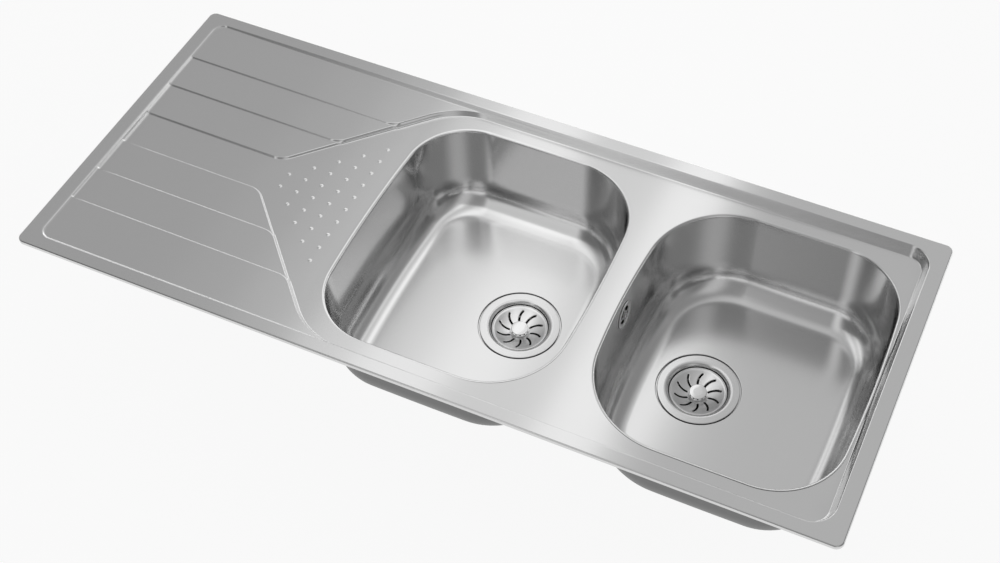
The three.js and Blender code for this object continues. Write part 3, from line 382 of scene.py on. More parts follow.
# %% A bowl's outline: four flat arcs and four corner arcs that touch them
class BowlPlan:
    """A bowl's opening. Its corners are wider on the side that faces the other bowl."""

    def __init__(self, left_x, right_x, corner_radii, end_radii):
        self.centre_x = (left_x + right_x) / 2
        self.side_y = BOWL_HALF_Y - BOWL_SIDE_RADIUS
        half_x = (right_x - left_x) / 2
        self.quarters = [self.quarter_of(half_x, *radii) for radii in zip(corner_radii, end_radii)]

    def quarter_of(self, half_x, corner_radius, end_radius):
        """Centres, radii and angles of the arcs where X and Y are positive."""
        end_x = half_x - end_radius
        to_end, to_side = end_radius - corner_radius, BOWL_SIDE_RADIUS - corner_radius
        span = math.hypot(end_x, self.side_y)
        along = (to_end ** 2 - to_side ** 2 + span ** 2) / (2 * span)
        off = math.sqrt(to_end ** 2 - along ** 2)
        line = np.array((-end_x, self.side_y)) / span
        x, y = np.array((end_x, 0)) + along * line + off * np.array((-line[1], line[0]))
        end_angle = math.atan2(y, x - end_x)
        side_angle = math.atan2(y - self.side_y, x)
        return end_x, end_radius, (x, y), corner_radius, end_angle, side_angle

    def outline(self, grow, side_count=8, corner_count=24):
        halves = []
        for end_x, end_radius, corner, corner_radius, end_angle, side_angle in self.quarters:
            halves.append(np.vstack((
                arc(end_x, 0, end_radius + grow, 0, end_angle, side_count),
                arc(*corner, corner_radius + grow, end_angle, side_angle, corner_count)[1:],
                arc(0, self.side_y, BOWL_SIDE_RADIUS + grow, side_angle, math.pi / 2, side_count)[1:])))
        left, right = halves
        upper = np.vstack((right, left[-2::-1] * (-1, 1)))
        whole = np.vstack((upper, upper[-2:0:-1] * (1, -1)))
        return whole + (self.centre_x, 0)

    def inside(self, x, y):
        """How far places lie inside the outline."""
        left, right = [self.inside_quarter(np.abs(x - self.centre_x), np.abs(y), *quarter)
                       for quarter in self.quarters]
        return np.where(x < self.centre_x, left, right)

    def inside_quarter(self, x, y, end_x, end_radius, corner, corner_radius, end_angle, side_angle):
        at_end = np.arctan2(y, x - end_x) < end_angle
        at_side = np.arctan2(y - self.side_y, x) > side_angle
        to_end = end_radius - np.hypot(x - end_x, y)
        to_side = BOWL_SIDE_RADIUS - np.hypot(x, y - self.side_y)
        to_corner = corner_radius - np.hypot(x - corner[0], y - corner[1])
        return np.where(at_end, to_end, np.where(at_side, to_side, to_corner))


def bowl_plan(side, corner_radii, end_radii, stretch=0.0):
    low, high = BOWLS[side]
    return BowlPlan(low.x + EDGE_ROLL, high.x - EDGE_ROLL + stretch, corner_radii, end_radii)


PLANS = {"left": bowl_plan("left", (88.0, 106.0), (2000.0, 2000.0)),
         "right": bowl_plan("right", (117.0, 94.0), (1100.0, 2000.0), stretch=3.5)}


print("a bowl's outline has", len(PLANS["left"].outline(0)), "points")

# %% [markdown]
# ## Distances
#
# How deep the sheet is pressed at a place follows from how far that place lies inside an
# outline. A bowl's plan gives that distance itself; this function gives it for the rim and
# the recess. It is positive inside and takes many places at once.

# %% Distance inside a rounded rectangle
def inside_rectangle(x, y, half_x, half_y, left, right):
    radius = np.where(x < 0, left, right)
    past_x = np.abs(x) - (half_x - radius)
    past_y = np.abs(y) - (half_y - radius)
    corner = np.hypot(np.maximum(past_x, 0), np.maximum(past_y, 0))
    return radius - corner - np.minimum(np.maximum(past_x, past_y), 0)


# %% [markdown]
# ## The drainer's steps
#
# The drainer is a stair: a centre channel, then panels that step up to the front and to
# the back. A panel ends at a slanting edge that swings round into the recess's wall. So
# the edge of everything deeper than one panel is a straight step, a bend, the slant and
# a wide swing.

# %% One step's edge
CHANNEL_HALF_WIDTH = 31.4
PANEL_PITCH = 60.8
SLANT = math.radians(46.5)
SLANT_START_X = LEFT_BOWL_START - 159.5
BEND_RADIUS = 30.0
SWING_RADIUS = 110.0
SWING_HALF_WIDTH = RECESS_HALF_Y - 3.8
STEP_ROWS = np.arange(-1.5, 5.6, 0.5)  # distances from an edge at which the sheet gets points


class StepEdge:
    """The edge of what lies deeper than the panel outside `step_y`, for positive Y."""

    def __init__(self, step_y):
        cos, sin = math.cos(SLANT), math.sin(SLANT)
        self.step_y = step_y
        self.bend = np.array((
            SLANT_START_X + (step_y - CHANNEL_HALF_WIDTH) * cos / sin - BEND_RADIUS * math.tan(SLANT / 2),
            step_y + BEND_RADIUS))
        self.bend_end = self.bend + BEND_RADIUS * np.array((sin, -cos))
        swing_y = SWING_HALF_WIDTH - SWING_RADIUS
        swing_start_y = swing_y + SWING_RADIUS * cos
        swing_start_x = SLANT_START_X + (swing_start_y - CHANNEL_HALF_WIDTH) * cos / sin
        self.swing = np.array((swing_start_x + SWING_RADIUS * sin, swing_y))
        self.swing_start = np.array((swing_start_x, swing_start_y))
        self.along = np.array((cos, sin))

    def distance(self, x, y):
        """How far a place lies on the deeper side of the edge."""
        y = np.abs(y)
        past_bend = (x - self.bend_end[0]) * self.along[0] + (y - self.bend_end[1]) * self.along[1]
        past_slant = (x - self.swing_start[0]) * self.along[0] + (y - self.swing_start[1]) * self.along[1]
        to_slant = (x - SLANT_START_X) * self.along[1] - (y - CHANNEL_HALF_WIDTH) * self.along[0]
        to_bend = np.hypot(x - self.bend[0], y - self.bend[1]) - BEND_RADIUS
        to_swing = SWING_RADIUS - np.hypot(x - self.swing[0], y - self.swing[1])
        return np.select(
            (x <= self.bend[0], past_bend <= 0, past_slant <= 0, x <= self.swing[0]),
            (self.step_y - y, to_bend, to_slant, to_swing), SWING_HALF_WIDTH - y)

    def line(self, inside, whole):
        """A line along the edge, `inside` millimetres on its deeper side."""
        quarter = math.pi / 2
        points = [[(-RECESS_HALF_X - 3, self.step_y - inside)],
                  arc(*self.bend, BEND_RADIUS + inside, -quarter, -quarter + SLANT, 12)]
        if whole:
            points += [arc(*self.swing, SWING_RADIUS - inside, quarter + SLANT, quarter, 22),
                       [(self.swing[0] + 60, SWING_HALF_WIDTH - inside)]]
        return divided(np.vstack(points), 45.0)


EDGES = [StepEdge(CHANNEL_HALF_WIDTH + count * PANEL_PITCH) for count in (2, 1, 0)]  # the outer one first
print("steps at y =", [round(edge.step_y, 1) for edge in EDGES])

# %% [markdown]
# ## The deck's height
#
# Each wall is a slope cut off by the panel above it and the floor below it. A plain
# lowest-of or highest-of would leave sharp creases, so the two are blended over a short
# height, which rounds the sheet as a press tool does.

# %% Blends of two heights
def upper_of(a, b, blend):
    share = np.clip(0.5 + 0.5 * (a - b) / blend, 0, 1)
    return a * share + b * (1 - share) + blend * share * (1 - share)


def lower_of(a, b, blend):
    return -upper_of(-a, -b, blend)


def stepped(above, top, floor, inside, blend):
    """What lies above, or the floor once the wall that falls from `top` is passed."""
    return lower_of(above, upper_of(floor, top - inside / WALL_RUN, blend), blend)


# %% Height of the deck's upper face
DRAINER_END_X = -RECESS_HALF_X
PANEL_DROPS = (2.0, 4.2, 6.4)
CHANNEL_DROP = 8.6
PANEL_FALL = 0.0124
FALL_END_X = LEFT_BOWL_START - 7.5
CHANNEL_FALL = (DECK_DROP - CHANNEL_DROP) / (FALL_END_X - DRAINER_END_X)
STEP_BLEND = 1.7
WALL_BLEND = 3.2
DOT_RADIUS = 3.3
DOT_HEIGHT = 1.0
DOT_PITCH = (25.9, 24.8)
FIRST_DOT_X = LEFT_BOWL_START - 136.3
DOTS = [(FIRST_DOT_X + column * DOT_PITCH[0], (row - column - 0.5) * DOT_PITCH[1])
        for column in range(5) for row in range(2 * (column + 1))]


def panel(x, drop, fall):
    """A panel falls towards the bowls and ends at the level of the ledge round them."""
    return upper_of(RIM_Z - drop - fall * (x - DRAINER_END_X), DECK_Z + 0 * x, 0.1)


def deck_height(x, y):
    panels = [panel(x, drop, PANEL_FALL) for drop in PANEL_DROPS]
    floors = panels[1:] + [panel(x, CHANNEL_DROP, CHANNEL_FALL)]
    height = stair = panels[0]  # the stair has straight steps, which the slanting edge cuts through
    for edge, floor in zip(EDGES, floors):
        height = stepped(height, stair, floor, edge.distance(x, y), STEP_BLEND)
        stair = stepped(stair, stair, floor, edge.step_y - np.abs(y), STEP_BLEND)
    height = stepped(RIM_Z + 0 * x, RIM_Z, height, inside_rectangle(x, y, *RECESS), WALL_BLEND)
    for dot_x, dot_y in DOTS:
        share = np.clip(1 - ((x - dot_x) ** 2 + (y - dot_y) ** 2) / DOT_RADIUS ** 2, 0, 1)
        height = height + DOT_HEIGHT * share ** 2
    return height


probe = deck_height(np.array((-550.0, -550.0, -400.0, 0.0)), np.array((200.0, 0.0, 120.0, 215.0)))
print("deck heights at four places:", [round(float(v), 2) for v in probe])

# %% [markdown]
# ## Pressed sheet from a height
#
# The face of a pressed sheet is a height over a flat plan. The plan is cut into triangles
# between lines that follow the edges, so that the rounded edges are never jagged. The
# height's own slope gives each point its normal, which shades the face as if it were
# perfectly smooth. Then the sheet gets its thickness, along those normals.

# %% A face: points, normals and polygons
class Face:
    """One side of a sheet, in millimetres."""

    def __init__(self, points, normals, polygons):
        self.points = np.asarray(points, dtype=float)
        self.normals = np.asarray(normals, dtype=float)
        self.polygons = polygons

    def joined(self, other, near=0.02):
        """This face with another that shares some of its points."""
        tree = KDTree(len(self.points))
        for index, point in enumerate(self.points):
            tree.insert(point, index)
        tree.balance()
        places, fresh = [], []
        for index, point in enumerate(other.points):
            _, found, distance = tree.find(point)
            if distance is not None and distance < near:
                places.append(found)
            else:
                places.append(len(self.points) + len(fresh))
                fresh.append(index)
        polygons = [[places[i] for i in polygon] for polygon in other.polygons]
        polygons = [p for p in polygons if len(set(p)) == len(p)]
        return Face(np.vstack((self.points, other.points[fresh])),
                    np.vstack((self.normals, other.normals[fresh])), self.polygons + polygons)

    def moved(self, matrix):
        turn = np.array(matrix.to_3x3())
        shift = np.array(matrix.translation)
        return Face(self.points @ turn.T + shift, self.normals @ turn.T, self.polygons)


def slope_normals(height, x, y, reach=0.02):
    along_x = (height(x + reach, y) - height(x - reach, y)) / (2 * reach)
    along_y = (height(x, y + reach) - height(x, y - reach)) / (2 * reach)
    return unit(np.column_stack((-along_x, -along_y, np.ones_like(x))))


# %% A face from a height over a plan
def pressed_face(height, closed_lines, keep, open_lines=()):
    """Triangles over the plan where `keep` is true, with points along all the lines."""
    places, edges = [], []
    for line, closed in [(line, True) for line in closed_lines] + [(line, False) for line in open_lines]:
        first = len(places)
        places += [Vector(point) for point in line]
        edges += [(first + i, first + i + 1) for i in range(len(line) - 1)]
        if closed:
            edges.append((first + len(line) - 1, first))
    made, _, triangles, _, _, _ = delaunay_2d_cdt(places, edges, [], 0, 1e-4)
    plan = np.array([tuple(point) for point in made])
    middles = np.array([plan[list(t)].mean(axis=0) for t in triangles])
    kept = keep(middles[:, 0], middles[:, 1])
    triangles = [list(t) for t, good in zip(triangles, kept) if good]
    used = sorted({i for t in triangles for i in t})
    place = {old: new for new, old in enumerate(used)}
    x, y = plan[used].T
    points = np.column_stack((x, y, height(x, y)))
    return Face(points, slope_normals(height, x, y), [[place[i] for i in t] for t in triangles])


def flat_face(z, closed_lines, keep):
    return pressed_face(lambda x, y: np.full_like(x, z), closed_lines, keep)


# %% A face from rings of points, such as a bowl's wall
CIRCLE_POINTS = 96


def ring_quads(first, second, count, closed=True):
    """The faces between two rings of points, given where each ring begins."""
    return [[first + i, first + (i + 1) % count, second + (i + 1) % count, second + i]
            for i in range(count if closed else count - 1)]


def ring_face(rings, normals, closed=True):
    count = len(rings[0])
    polygons = []
    for level in range(len(rings) - 1):
        polygons += ring_quads(level * count, (level + 1) * count, count, closed)
    return Face(np.vstack(rings), np.vstack(normals), polygons)


def swept_face(outline_at, profile):
    """A profile of (inset, z) points carried round an outline; it faces its left side."""
    step_in, step_up = np.gradient(np.asarray(profile, dtype=float), axis=0).T
    outward = unit(outline_at(1) - outline_at(0))
    rings, normals = [], []
    for (inset, z), (turn_in, turn_up) in zip(profile, unit(np.column_stack((-step_up, step_in)))):
        ring = outline_at(-inset)
        rings.append(np.column_stack((ring, np.full(len(ring), z))))
        normals.append(np.column_stack((-outward * turn_in, np.full(len(ring), turn_up))))
    return ring_face(rings, normals)


def turned_face(profile, x):
    """A profile of (radius, z) points turned about the upright axis at `x`."""
    around = circle(1, CIRCLE_POINTS)
    return swept_face(lambda grow: around * grow + (x, 0), [(-radius, z) for radius, z in profile])


# %% From a face to a closed sheet
def thickened(face, thickness):
    """Points and polygons of a face, its other side and the edge between them."""
    count = len(face.points)
    points = np.vstack((face.points, face.points - thickness * face.normals))
    steps = dict.fromkeys((a, b) for polygon in face.polygons
                          for a, b in zip(polygon, polygon[1:] + polygon[:1]))
    edge = [[b, a, a + count, b + count] for a, b in steps if (b, a) not in steps]
    other = [[i + count for i in polygon[::-1]] for polygon in face.polygons]
    return points, face.polygons + other + edge


def sheet(name, face, thickness, material, under=None):
    """A closed piece that the face's own normals shade on both of its sides."""
    points, polygons = thickened(face, thickness)
    mesh = bpy.data.meshes.new(name)
    mesh.from_pydata((points * MM).tolist(), [], polygons)
    both = np.vstack((face.normals, -face.normals))
    normals = []
    for polygon in mesh.polygons:
        if polygon.index < 2 * len(face.polygons):
            normals += both[list(polygon.vertices)].tolist()
        else:
            normals += [tuple(polygon.normal)] * len(polygon.vertices)
    mesh.polygons.foreach_set("use_smooth", [True] * len(mesh.polygons))
    mesh.normals_split_custom_set(normals)
    mesh.update()
    piece = placed(name, mesh, material)
    if under:
        mesh.materials.append(under)
        for polygon in mesh.polygons[len(face.polygons):]:
            polygon.material_index = 1
    return piece


def placed(name, mesh, material):
    mesh.materials.append(material)
    piece = bpy.data.objects.new(name, mesh)
    bpy.context.scene.collection.objects.link(piece)
    return piece


def settle(piece, body, node):
    """The piece rides with its body and stands for its node, which is hidden."""
    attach(piece, body)
    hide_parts(node)
    print(piece.name, len(piece.data.polygons), "faces, for", node)


# %% [markdown]
# ## The deck
#
# On the real sink this is one sheet, pressed in one stroke and cut out for the bowls. The
# plan gets lines at short distances on both sides of every edge, a few rings round each
# raised dot, and the outlines of the two openings. The rim's edge then bends down to the
# worktop as a separate band, because a height can't stand upright.

# %% Build the deck
WALL_ROWS = np.arange(-2.0, 9.3, 0.6)


def deck_lines():
    closed = [rim_outline(-RIM_EDGE)]
    closed += [rounded_rectangle(*RECESS, -row) for row in WALL_ROWS]
    closed += [plan.outline(EDGE_ROLL) for plan in PLANS.values()]
    for x, y in DOTS:
        closed += [circle(DOT_RADIUS * share, 10, x, y) for share in (1.0, 0.82, 0.6, 0.36, 0.14)]
    open_lines = [np.array(((x, -150.0), (x, 150.0))) for x in FALL_END_X + np.array((-7.0, -3.5, 0.0))]
    for order, edge in enumerate(EDGES):
        for row in STEP_ROWS:
            line = edge.line(row, whole=order == len(EDGES) - 1)
            open_lines += [line, line * (1, -1)]
    return closed, open_lines


def on_deck(x, y):
    in_bowl = np.maximum(PLANS["left"].inside(x, y), PLANS["right"].inside(x, y))
    return (inside_rectangle(x, y, *RIM) > RIM_EDGE) & (in_bowl < -EDGE_ROLL)


def rim_band():
    """The rim's rounded edge and the upright lip that stands on the worktop."""
    edge = bend(RIM_EDGE, RIM_Z - RIM_EDGE, -RIM_EDGE, RIM_EDGE, 0, math.pi / 2, 7)
    return swept_face(rim_outline, [(0.15, 0.0), (0.0, 0.3), (0.0, 2.0)] + edge)


def deck_face():
    closed, open_lines = deck_lines()
    return pressed_face(deck_height, closed, on_deck, open_lines).joined(rim_band())


settle(sheet("pressed_deck", deck_face(), SHEET, deck_steel, under_steel), "sink", "deck")

# %% [markdown]
# ## The bowls
#
# A bowl is drawn from a flat sheet, so its wall leans in a little, its corners are wide
# and its floor meets the wall in a big rounding. Its upper edge is rolled outwards and
# the weld to the deck is ground away, which leaves one smooth edge. Round the drain the
# floor is pressed down, to take the strainer's flange and the foam ring under it.

# %% Build the two bowls
SEAT_RADIUS = 58.7
SEAT_DEPTH = 2.8
SEAT_EDGE = 1.0  # rounding of the seat's upper edge
DRAIN_HOLE = 45.0
HOLE_LEVELS = (-26.0, -61.2)  # between these two levels lies the overflow's hole
WALL_LEVELS = (*HOLE_LEVELS, -84.0)
OVERFLOW_DROP = 35.0
OVERFLOW_Z = DECK_Z - OVERFLOW_DROP
OVERFLOW_HOLE = 15.0


def bowl_profile():
    """(inset, z) from the deck over the rolled edge and down the wall to the floor."""
    top = DECK_Z - EDGE_ROLL
    roll = bend(-EDGE_ROLL, top, EDGE_ROLL, EDGE_ROLL, math.pi / 2, BOWL_DRAFT, 9)
    reach, rise = FLOOR_FILLET
    centre_z = FLOOR_Z + rise
    start = math.atan(math.tan(BOWL_DRAFT) * rise / reach)
    foot_inset = (top - centre_z + rise * math.sin(start)) * math.tan(BOWL_DRAFT)
    centre_inset = foot_inset + reach * math.cos(start)
    wall = [((top - z) * math.tan(BOWL_DRAFT), z) for z in WALL_LEVELS]
    fillet = bend(centre_inset, centre_z, -reach, -rise, start, math.pi / 2, 24)
    return roll + wall + fillet + [(centre_inset + 2.0, FLOOR_Z)]


def seat_profile():
    """(radius, z) from the floor down into the pressed seat and in to the drain hole."""
    edge = bend(SEAT_RADIUS + SEAT_EDGE, FLOOR_Z - SEAT_EDGE, -SEAT_EDGE, SEAT_EDGE, math.pi / 2, 0, 5)
    bottom = FLOOR_Z - SEAT_DEPTH
    return edge + [(SEAT_RADIUS, bottom + 0.3), (SEAT_RADIUS - 0.3, bottom), (DRAIN_HOLE, bottom)]


def with_overflow_hole(wall, plan):
    """The wall with a round hole in its left side, whose edge the fine triangles follow."""
    count = len(plan.outline(0))
    end_x, end_radius = plan.quarters[0][:2]
    columns = range(count // 2 - 2, count // 2 + 3)
    upper = [z for _, z in bowl_profile()].index(HOLE_LEVELS[0])
    gone = {upper * count + column for column in columns[:-1]}
    polygons = [polygon for polygon in wall.polygons if min(polygon) not in gone]
    ring = [upper * count + c for c in columns] + [(upper + 1) * count + c for c in columns[::-1]]
    border = wall.points[ring][:, 1:]
    hole = circle(OVERFLOW_HOLE, 48, 0.0, OVERFLOW_Z)
    wide = abs(border[:, 0]).max()

    def on_wall(y, z):
        return (np.hypot(y, z - OVERFLOW_Z) > OVERFLOW_HOLE) & (np.abs(y) < wide)

    flat = flat_face(0.0, [border, hole], on_wall)
    y, z = flat.points[:, 0], flat.points[:, 1]
    radius = end_radius - (DECK_Z - EDGE_ROLL - z) * math.tan(BOWL_DRAFT)
    side_x = plan.centre_x - end_x - np.sqrt(radius ** 2 - y ** 2)
    cos, sin = math.cos(BOWL_DRAFT), math.sin(BOWL_DRAFT)
    normals = np.column_stack((cos * np.ones_like(y), -cos * y / radius, sin * np.ones_like(y)))
    patch = Face(np.column_stack((side_x, y, z)), normals, flat.polygons)
    return Face(wall.points, wall.normals, polygons).joined(patch)


def bowl_face(side):
    plan, drain_x = PLANS[side], DRAIN_X[side]
    profile, seat = bowl_profile(), seat_profile()
    floor_inset, seat_radius = profile[-1][0], seat[0][0]
    wall = swept_face(plan.outline, profile)
    if side == "right":
        wall = with_overflow_hole(wall, plan)

    def on_floor(x, y):
        return (plan.inside(x, y) > floor_inset) & (np.hypot(x - drain_x, y) > seat_radius)

    rings = [circle(seat_radius + reach, CIRCLE_POINTS, drain_x) for reach in (0.0, 1.5, 9.0)]
    floor = flat_face(FLOOR_Z, [plan.outline(-floor_inset)] + rings, on_floor)
    return wall.joined(floor).joined(turned_face(seat, drain_x))


for side in SIDES:
    bowl = sheet(f"{side}_drawn_bowl", bowl_face(side), SHEET, bowl_steel, under_steel)
    settle(bowl, "sink", f"{side}_bowl")


# %% [markdown]
# ## Turned pieces
#
# Strainers, seals and screws are round about an axis. Each is drawn as the outline of its
# half section, with every edge that a press or a mould leaves round given its radius, and
# then turned about that axis.

# %% A closed outline with round corners, and a piece turned from it
def filleted(corners_at, count=5):
    """A closed outline from (x, y, radius) corners, each rounded by its radius."""
    places = [np.array(corner[:2], dtype=float) for corner in corners_at]
    points = []
    for index, (_, _, radius) in enumerate(corners_at):
        here = places[index]
        if radius == 0:
            points.append(here)
            continue
        back = places[index - 1] - here
        ahead = places[(index + 1) % len(places)] - here
        back /= np.linalg.norm(back)
        ahead /= np.linalg.norm(ahead)
        half = math.acos(max(-1.0, min(1.0, float(back @ ahead)))) / 2
        between = (back + ahead) / np.linalg.norm(back + ahead)
        middle = here + between * radius / math.sin(half)
        start = here + back * radius / math.tan(half) - middle
        end = here + ahead * radius / math.tan(half) - middle
        first = math.atan2(start[1], start[0])
        turn = (math.atan2(end[1], end[0]) - first + math.pi) % (2 * math.pi) - math.pi
        points += list(arc(*middle, radius, first, first + turn, count))
    return np.array(points)


def closed_piece(name, points, polygons, material, matrix=None, sharp=40.0):
    """A piece from points in millimetres, smooth but for edges sharper than `sharp` degrees."""
    work = bmesh.new()
    made = [work.verts.new(Vector(point) * MM) for point in points]
    for polygon in polygons:
        if len(set(polygon)) > 2:
            work.faces.new([made[i] for i in polygon])
    bmesh.ops.remove_doubles(work, verts=work.verts, dist=1e-7)
    bmesh.ops.dissolve_degenerate(work, edges=work.edges, dist=1e-7)
    bmesh.ops.recalc_face_normals(work, faces=work.faces)
    mesh = bpy.data.meshes.new(name)
    work.to_mesh(mesh)
    work.free()
    if matrix is not None:
        mesh.transform(matrix)
    mesh.polygons.foreach_set("use_smooth", [True] * len(mesh.polygons))
    mesh.set_sharp_from_angle(angle=math.radians(sharp))
    return placed(name, mesh, material)


def stacked_mesh(rings):
    """Points and polygons of a body through rings of points, with a flat cap at each end."""
    size, top = len(rings[0]), len(rings) - 1
    polygons = [list(range(size))[::-1], list(range(top * size, (top + 1) * size))]
    for level in range(top):
        polygons += ring_quads(level * size, (level + 1) * size, size)
    return [point for ring in rings for point in ring], polygons


def extruded_mesh(outline, low, high):
    """Points and polygons of a closed (x, y) outline between two heights."""
    return stacked_mesh([[(x, y, z) for x, y in outline] for z in (low, high)])


def ring_loop(rings, size):
    """The faces between rings that follow each other round and back to the first one."""
    polygons = []
    for first, second in zip(rings, rings[1:] + rings[:1]):
        polygons += ring_quads(first * size, second * size, size)
    return polygons


def turned_mesh(outline, count=CIRCLE_POINTS):
    """Points and polygons of a closed (radius, z) outline turned about Z."""
    turns = np.linspace(0, 2 * math.pi, count, endpoint=False)
    points = [(r * math.cos(t), r * math.sin(t), z) for t in turns for r, z in outline]
    return points, ring_loop(list(range(count)), len(outline))


def turned_piece(name, outline, count, material, place):
    return closed_piece(name, *turned_mesh(outline, count), material, place)


def ring_outline(inner, outer, low, high, *softs):
    """A ring's section, with one radius for its corners or four, from inner low round to inner high."""
    places = ((inner, low), (outer, low), (outer, high), (inner, high))
    return filleted([(*place, soft) for place, soft in zip(places, softs * (4 // len(softs)))])


def together(*meshes):
    """Several closed meshes as one."""
    points, polygons = [], []
    for some_points, some_polygons in meshes:
        first = len(points)
        points += [tuple(p) for p in some_points]
        polygons += [[first + i for i in polygon] for polygon in some_polygons]
    return points, polygons


def bevelled(piece, width, segments=2):
    """Rounds the edges that are still sharp."""
    bevel = piece.modifiers.new("soft_edges", "BEVEL")
    bevel.width = width * MM
    bevel.segments = segments
    bevel.limit_method = "ANGLE"
    bevel.angle_limit = math.radians(40)
    bevel.harden_normals = True
    return piece


def at(x, y, z):
    return Matrix.Translation(Vector((x, y, z)) * MM)


def at_drain(side):
    return at(DRAIN_X[side], 0, FLOOR_Z)


# %% [markdown]
# ## The strainers
#
# The flange is a stamping like the bowl: a flat ring, an edge that dips gently into the
# cup, and a bottom with six holes for the water. It lies in the pressed seat, and a thin
# dark line of shadow stays all round it.

# %% Build the two waste flanges
FLANGE_SHEET = 1.2
CUP_RADIUS = 41.2
CUP_BOTTOM_RADIUS = 40.0
CUP_DEPTH = 31.0
CUP_CORNER = 5.0
FLANGE_RADIUS = (FLANGES["left"][1].x - FLANGES["left"][0].x) / 2
FLANGE_DIP = (6.4, 4.2)  # the dip's width and depth
SCREW_HOLE = 3.3
CUP_HOLES = circle(23.0, 6)
CUP_HOLE_RADIUS = 8.0


def flange_profile():
    """(radius, z) from the flange's edge over the dip and down to the cup's bottom."""
    width, depth = FLANGE_DIP
    edge = [(FLANGE_RADIUS - inset, -drop) for inset, drop in
            ((0, 0.7), (0.1, 0.35), (0.45, 0.06), (1.0, 0), (4.0, 0))]
    edge.append((CUP_RADIUS + width + 0.6, 0))
    dip = bend(CUP_RADIUS + width, -depth, -width, depth, math.pi / 2, 0, 12)
    foot = bend(CUP_BOTTOM_RADIUS - CUP_CORNER, CUP_CORNER - CUP_DEPTH, CUP_CORNER, -CUP_CORNER,
                0, math.pi / 2, 8)
    return [(radius, FLOOR_Z + z) for radius, z in edge + dip + foot]


def flange_face(x):
    profile = flange_profile()
    foot = profile[-1][0]

    def on_bottom(px, py):
        distance = np.hypot(px - x, py)
        good = (distance < foot) & (distance > SCREW_HOLE)
        for hole_x, hole_y in CUP_HOLES:
            good &= np.hypot(px - x - hole_x, py - hole_y) > CUP_HOLE_RADIUS
        return good

    rings = [circle(foot, CIRCLE_POINTS, x), circle(SCREW_HOLE, 16, x)]
    rings += [circle(CUP_HOLE_RADIUS, 28, x + hole_x, hole_y) for hole_x, hole_y in CUP_HOLES]
    return turned_face(profile, x).joined(flat_face(FLOOR_Z - CUP_DEPTH, rings, on_bottom))


for side in SIDES:
    flange = sheet(f"{side}_stamped_flange", flange_face(DRAIN_X[side]), FLANGE_SHEET, flange_steel)
    settle(flange, "sink", f"{side}_waste_flange")

# %% [markdown]
# ## The baskets
#
# A basket is a dished plate with ten slots that swirl like a fan. Its edge is rolled
# over, and the slots' edges sink in slightly where the punch went through. All of that
# is again one height over a plan.

# %% The dish's height, with its slots
BASKET_RADIUS = 40.2
BASKET_SHEET = 0.9
BASKET_RIM, BASKET_CENTRE = 4.9, 15.0  # how far these lie below the floor
BASKET_FLAT = 12.0
BASKET_HOLE = 4.3  # for the stopper's stem
BASKET_ROLL = 1.7
BASKET_REACH = BASKET_RADIUS - BASKET_ROLL - 0.8  # where the dish ends and its rolled edge begins
SLOTS = 10
SLOT_FROM, SLOT_TO = 15.6, 31.6
SLOT_HALF_WIDTH = 1.45
SLOT_SWIRL = math.radians(-12)
SLOT_TURN = {"left": math.radians(10), "right": math.radians(3)}
SLOT_LIP = 1.0
SLOT_SINK = 0.3


def slot_middle(turn, count=10):
    shares = np.linspace(0, 1, count + 1)
    radius = SLOT_FROM + shares * (SLOT_TO - SLOT_FROM)
    angle = turn + SLOT_SWIRL * shares ** 2
    return np.column_stack((radius * np.cos(angle), radius * np.sin(angle)))


def slot_outline(turn, grow):
    """A slot's edge: both sides of its middle line, with a half circle at each end."""
    middle = slot_middle(turn)
    along = unit(np.gradient(middle, axis=0))
    across = np.column_stack((-along[:, 1], along[:, 0])) * (SLOT_HALF_WIDTH + grow)
    start = math.atan2(along[0][1], along[0][0]) + math.pi / 2
    end = math.atan2(along[-1][1], along[-1][0]) - math.pi / 2
    inner = arc(*middle[0], SLOT_HALF_WIDTH + grow, start, start + math.pi, 6)
    outer = arc(*middle[-1], SLOT_HALF_WIDTH + grow, end, end + math.pi, 6)
    return np.vstack((inner[:-1], (middle - across)[:-1], outer[:-1], (middle + across)[::-1][:-1]))


def slot_distance(x, y, turns):
    """Distance to the nearest slot's middle line."""
    nearest = np.full(np.shape(x), 1e3)
    for turn in turns:
        middle = slot_middle(turn, 14)
        for start, end in zip(middle[:-1], middle[1:]):
            run = end - start
            share = ((x - start[0]) * run[0] + (y - start[1]) * run[1]) / (run @ run)
            share = np.clip(share, 0, 1)
            gap = np.hypot(x - start[0] - share * run[0], y - start[1] - share * run[1])
            nearest = np.minimum(nearest, gap)
    return nearest


def dish_height(radius):
    """The dish: flat in the middle, then rising to just inside the rim."""
    share = np.clip((radius - BASKET_FLAT) / (BASKET_REACH - BASKET_FLAT), 0, 1)
    rise = BASKET_CENTRE - BASKET_RIM - 0.9
    return FLOOR_Z - BASKET_CENTRE + rise * (0.62 * share + 0.38 * share ** 2)


# %% Build the two baskets
def rolled_edge():
    """(radius, z) from the outer foot of the rolled edge, over it and in to the dish."""
    rim_z = FLOOR_Z - BASKET_RIM
    top = BASKET_REACH + 0.8
    edge = [(BASKET_REACH, float(dish_height(BASKET_REACH))), (BASKET_REACH + 0.3, rim_z - 0.42),
            (top, rim_z - 0.08)]
    edge += bend(top, rim_z - BASKET_ROLL, BASKET_ROLL, BASKET_ROLL, math.pi / 2 - 0.15, 0, 8)
    return [(BASKET_RADIUS, rim_z - BASKET_ROLL - 1.2)] + edge[::-1]


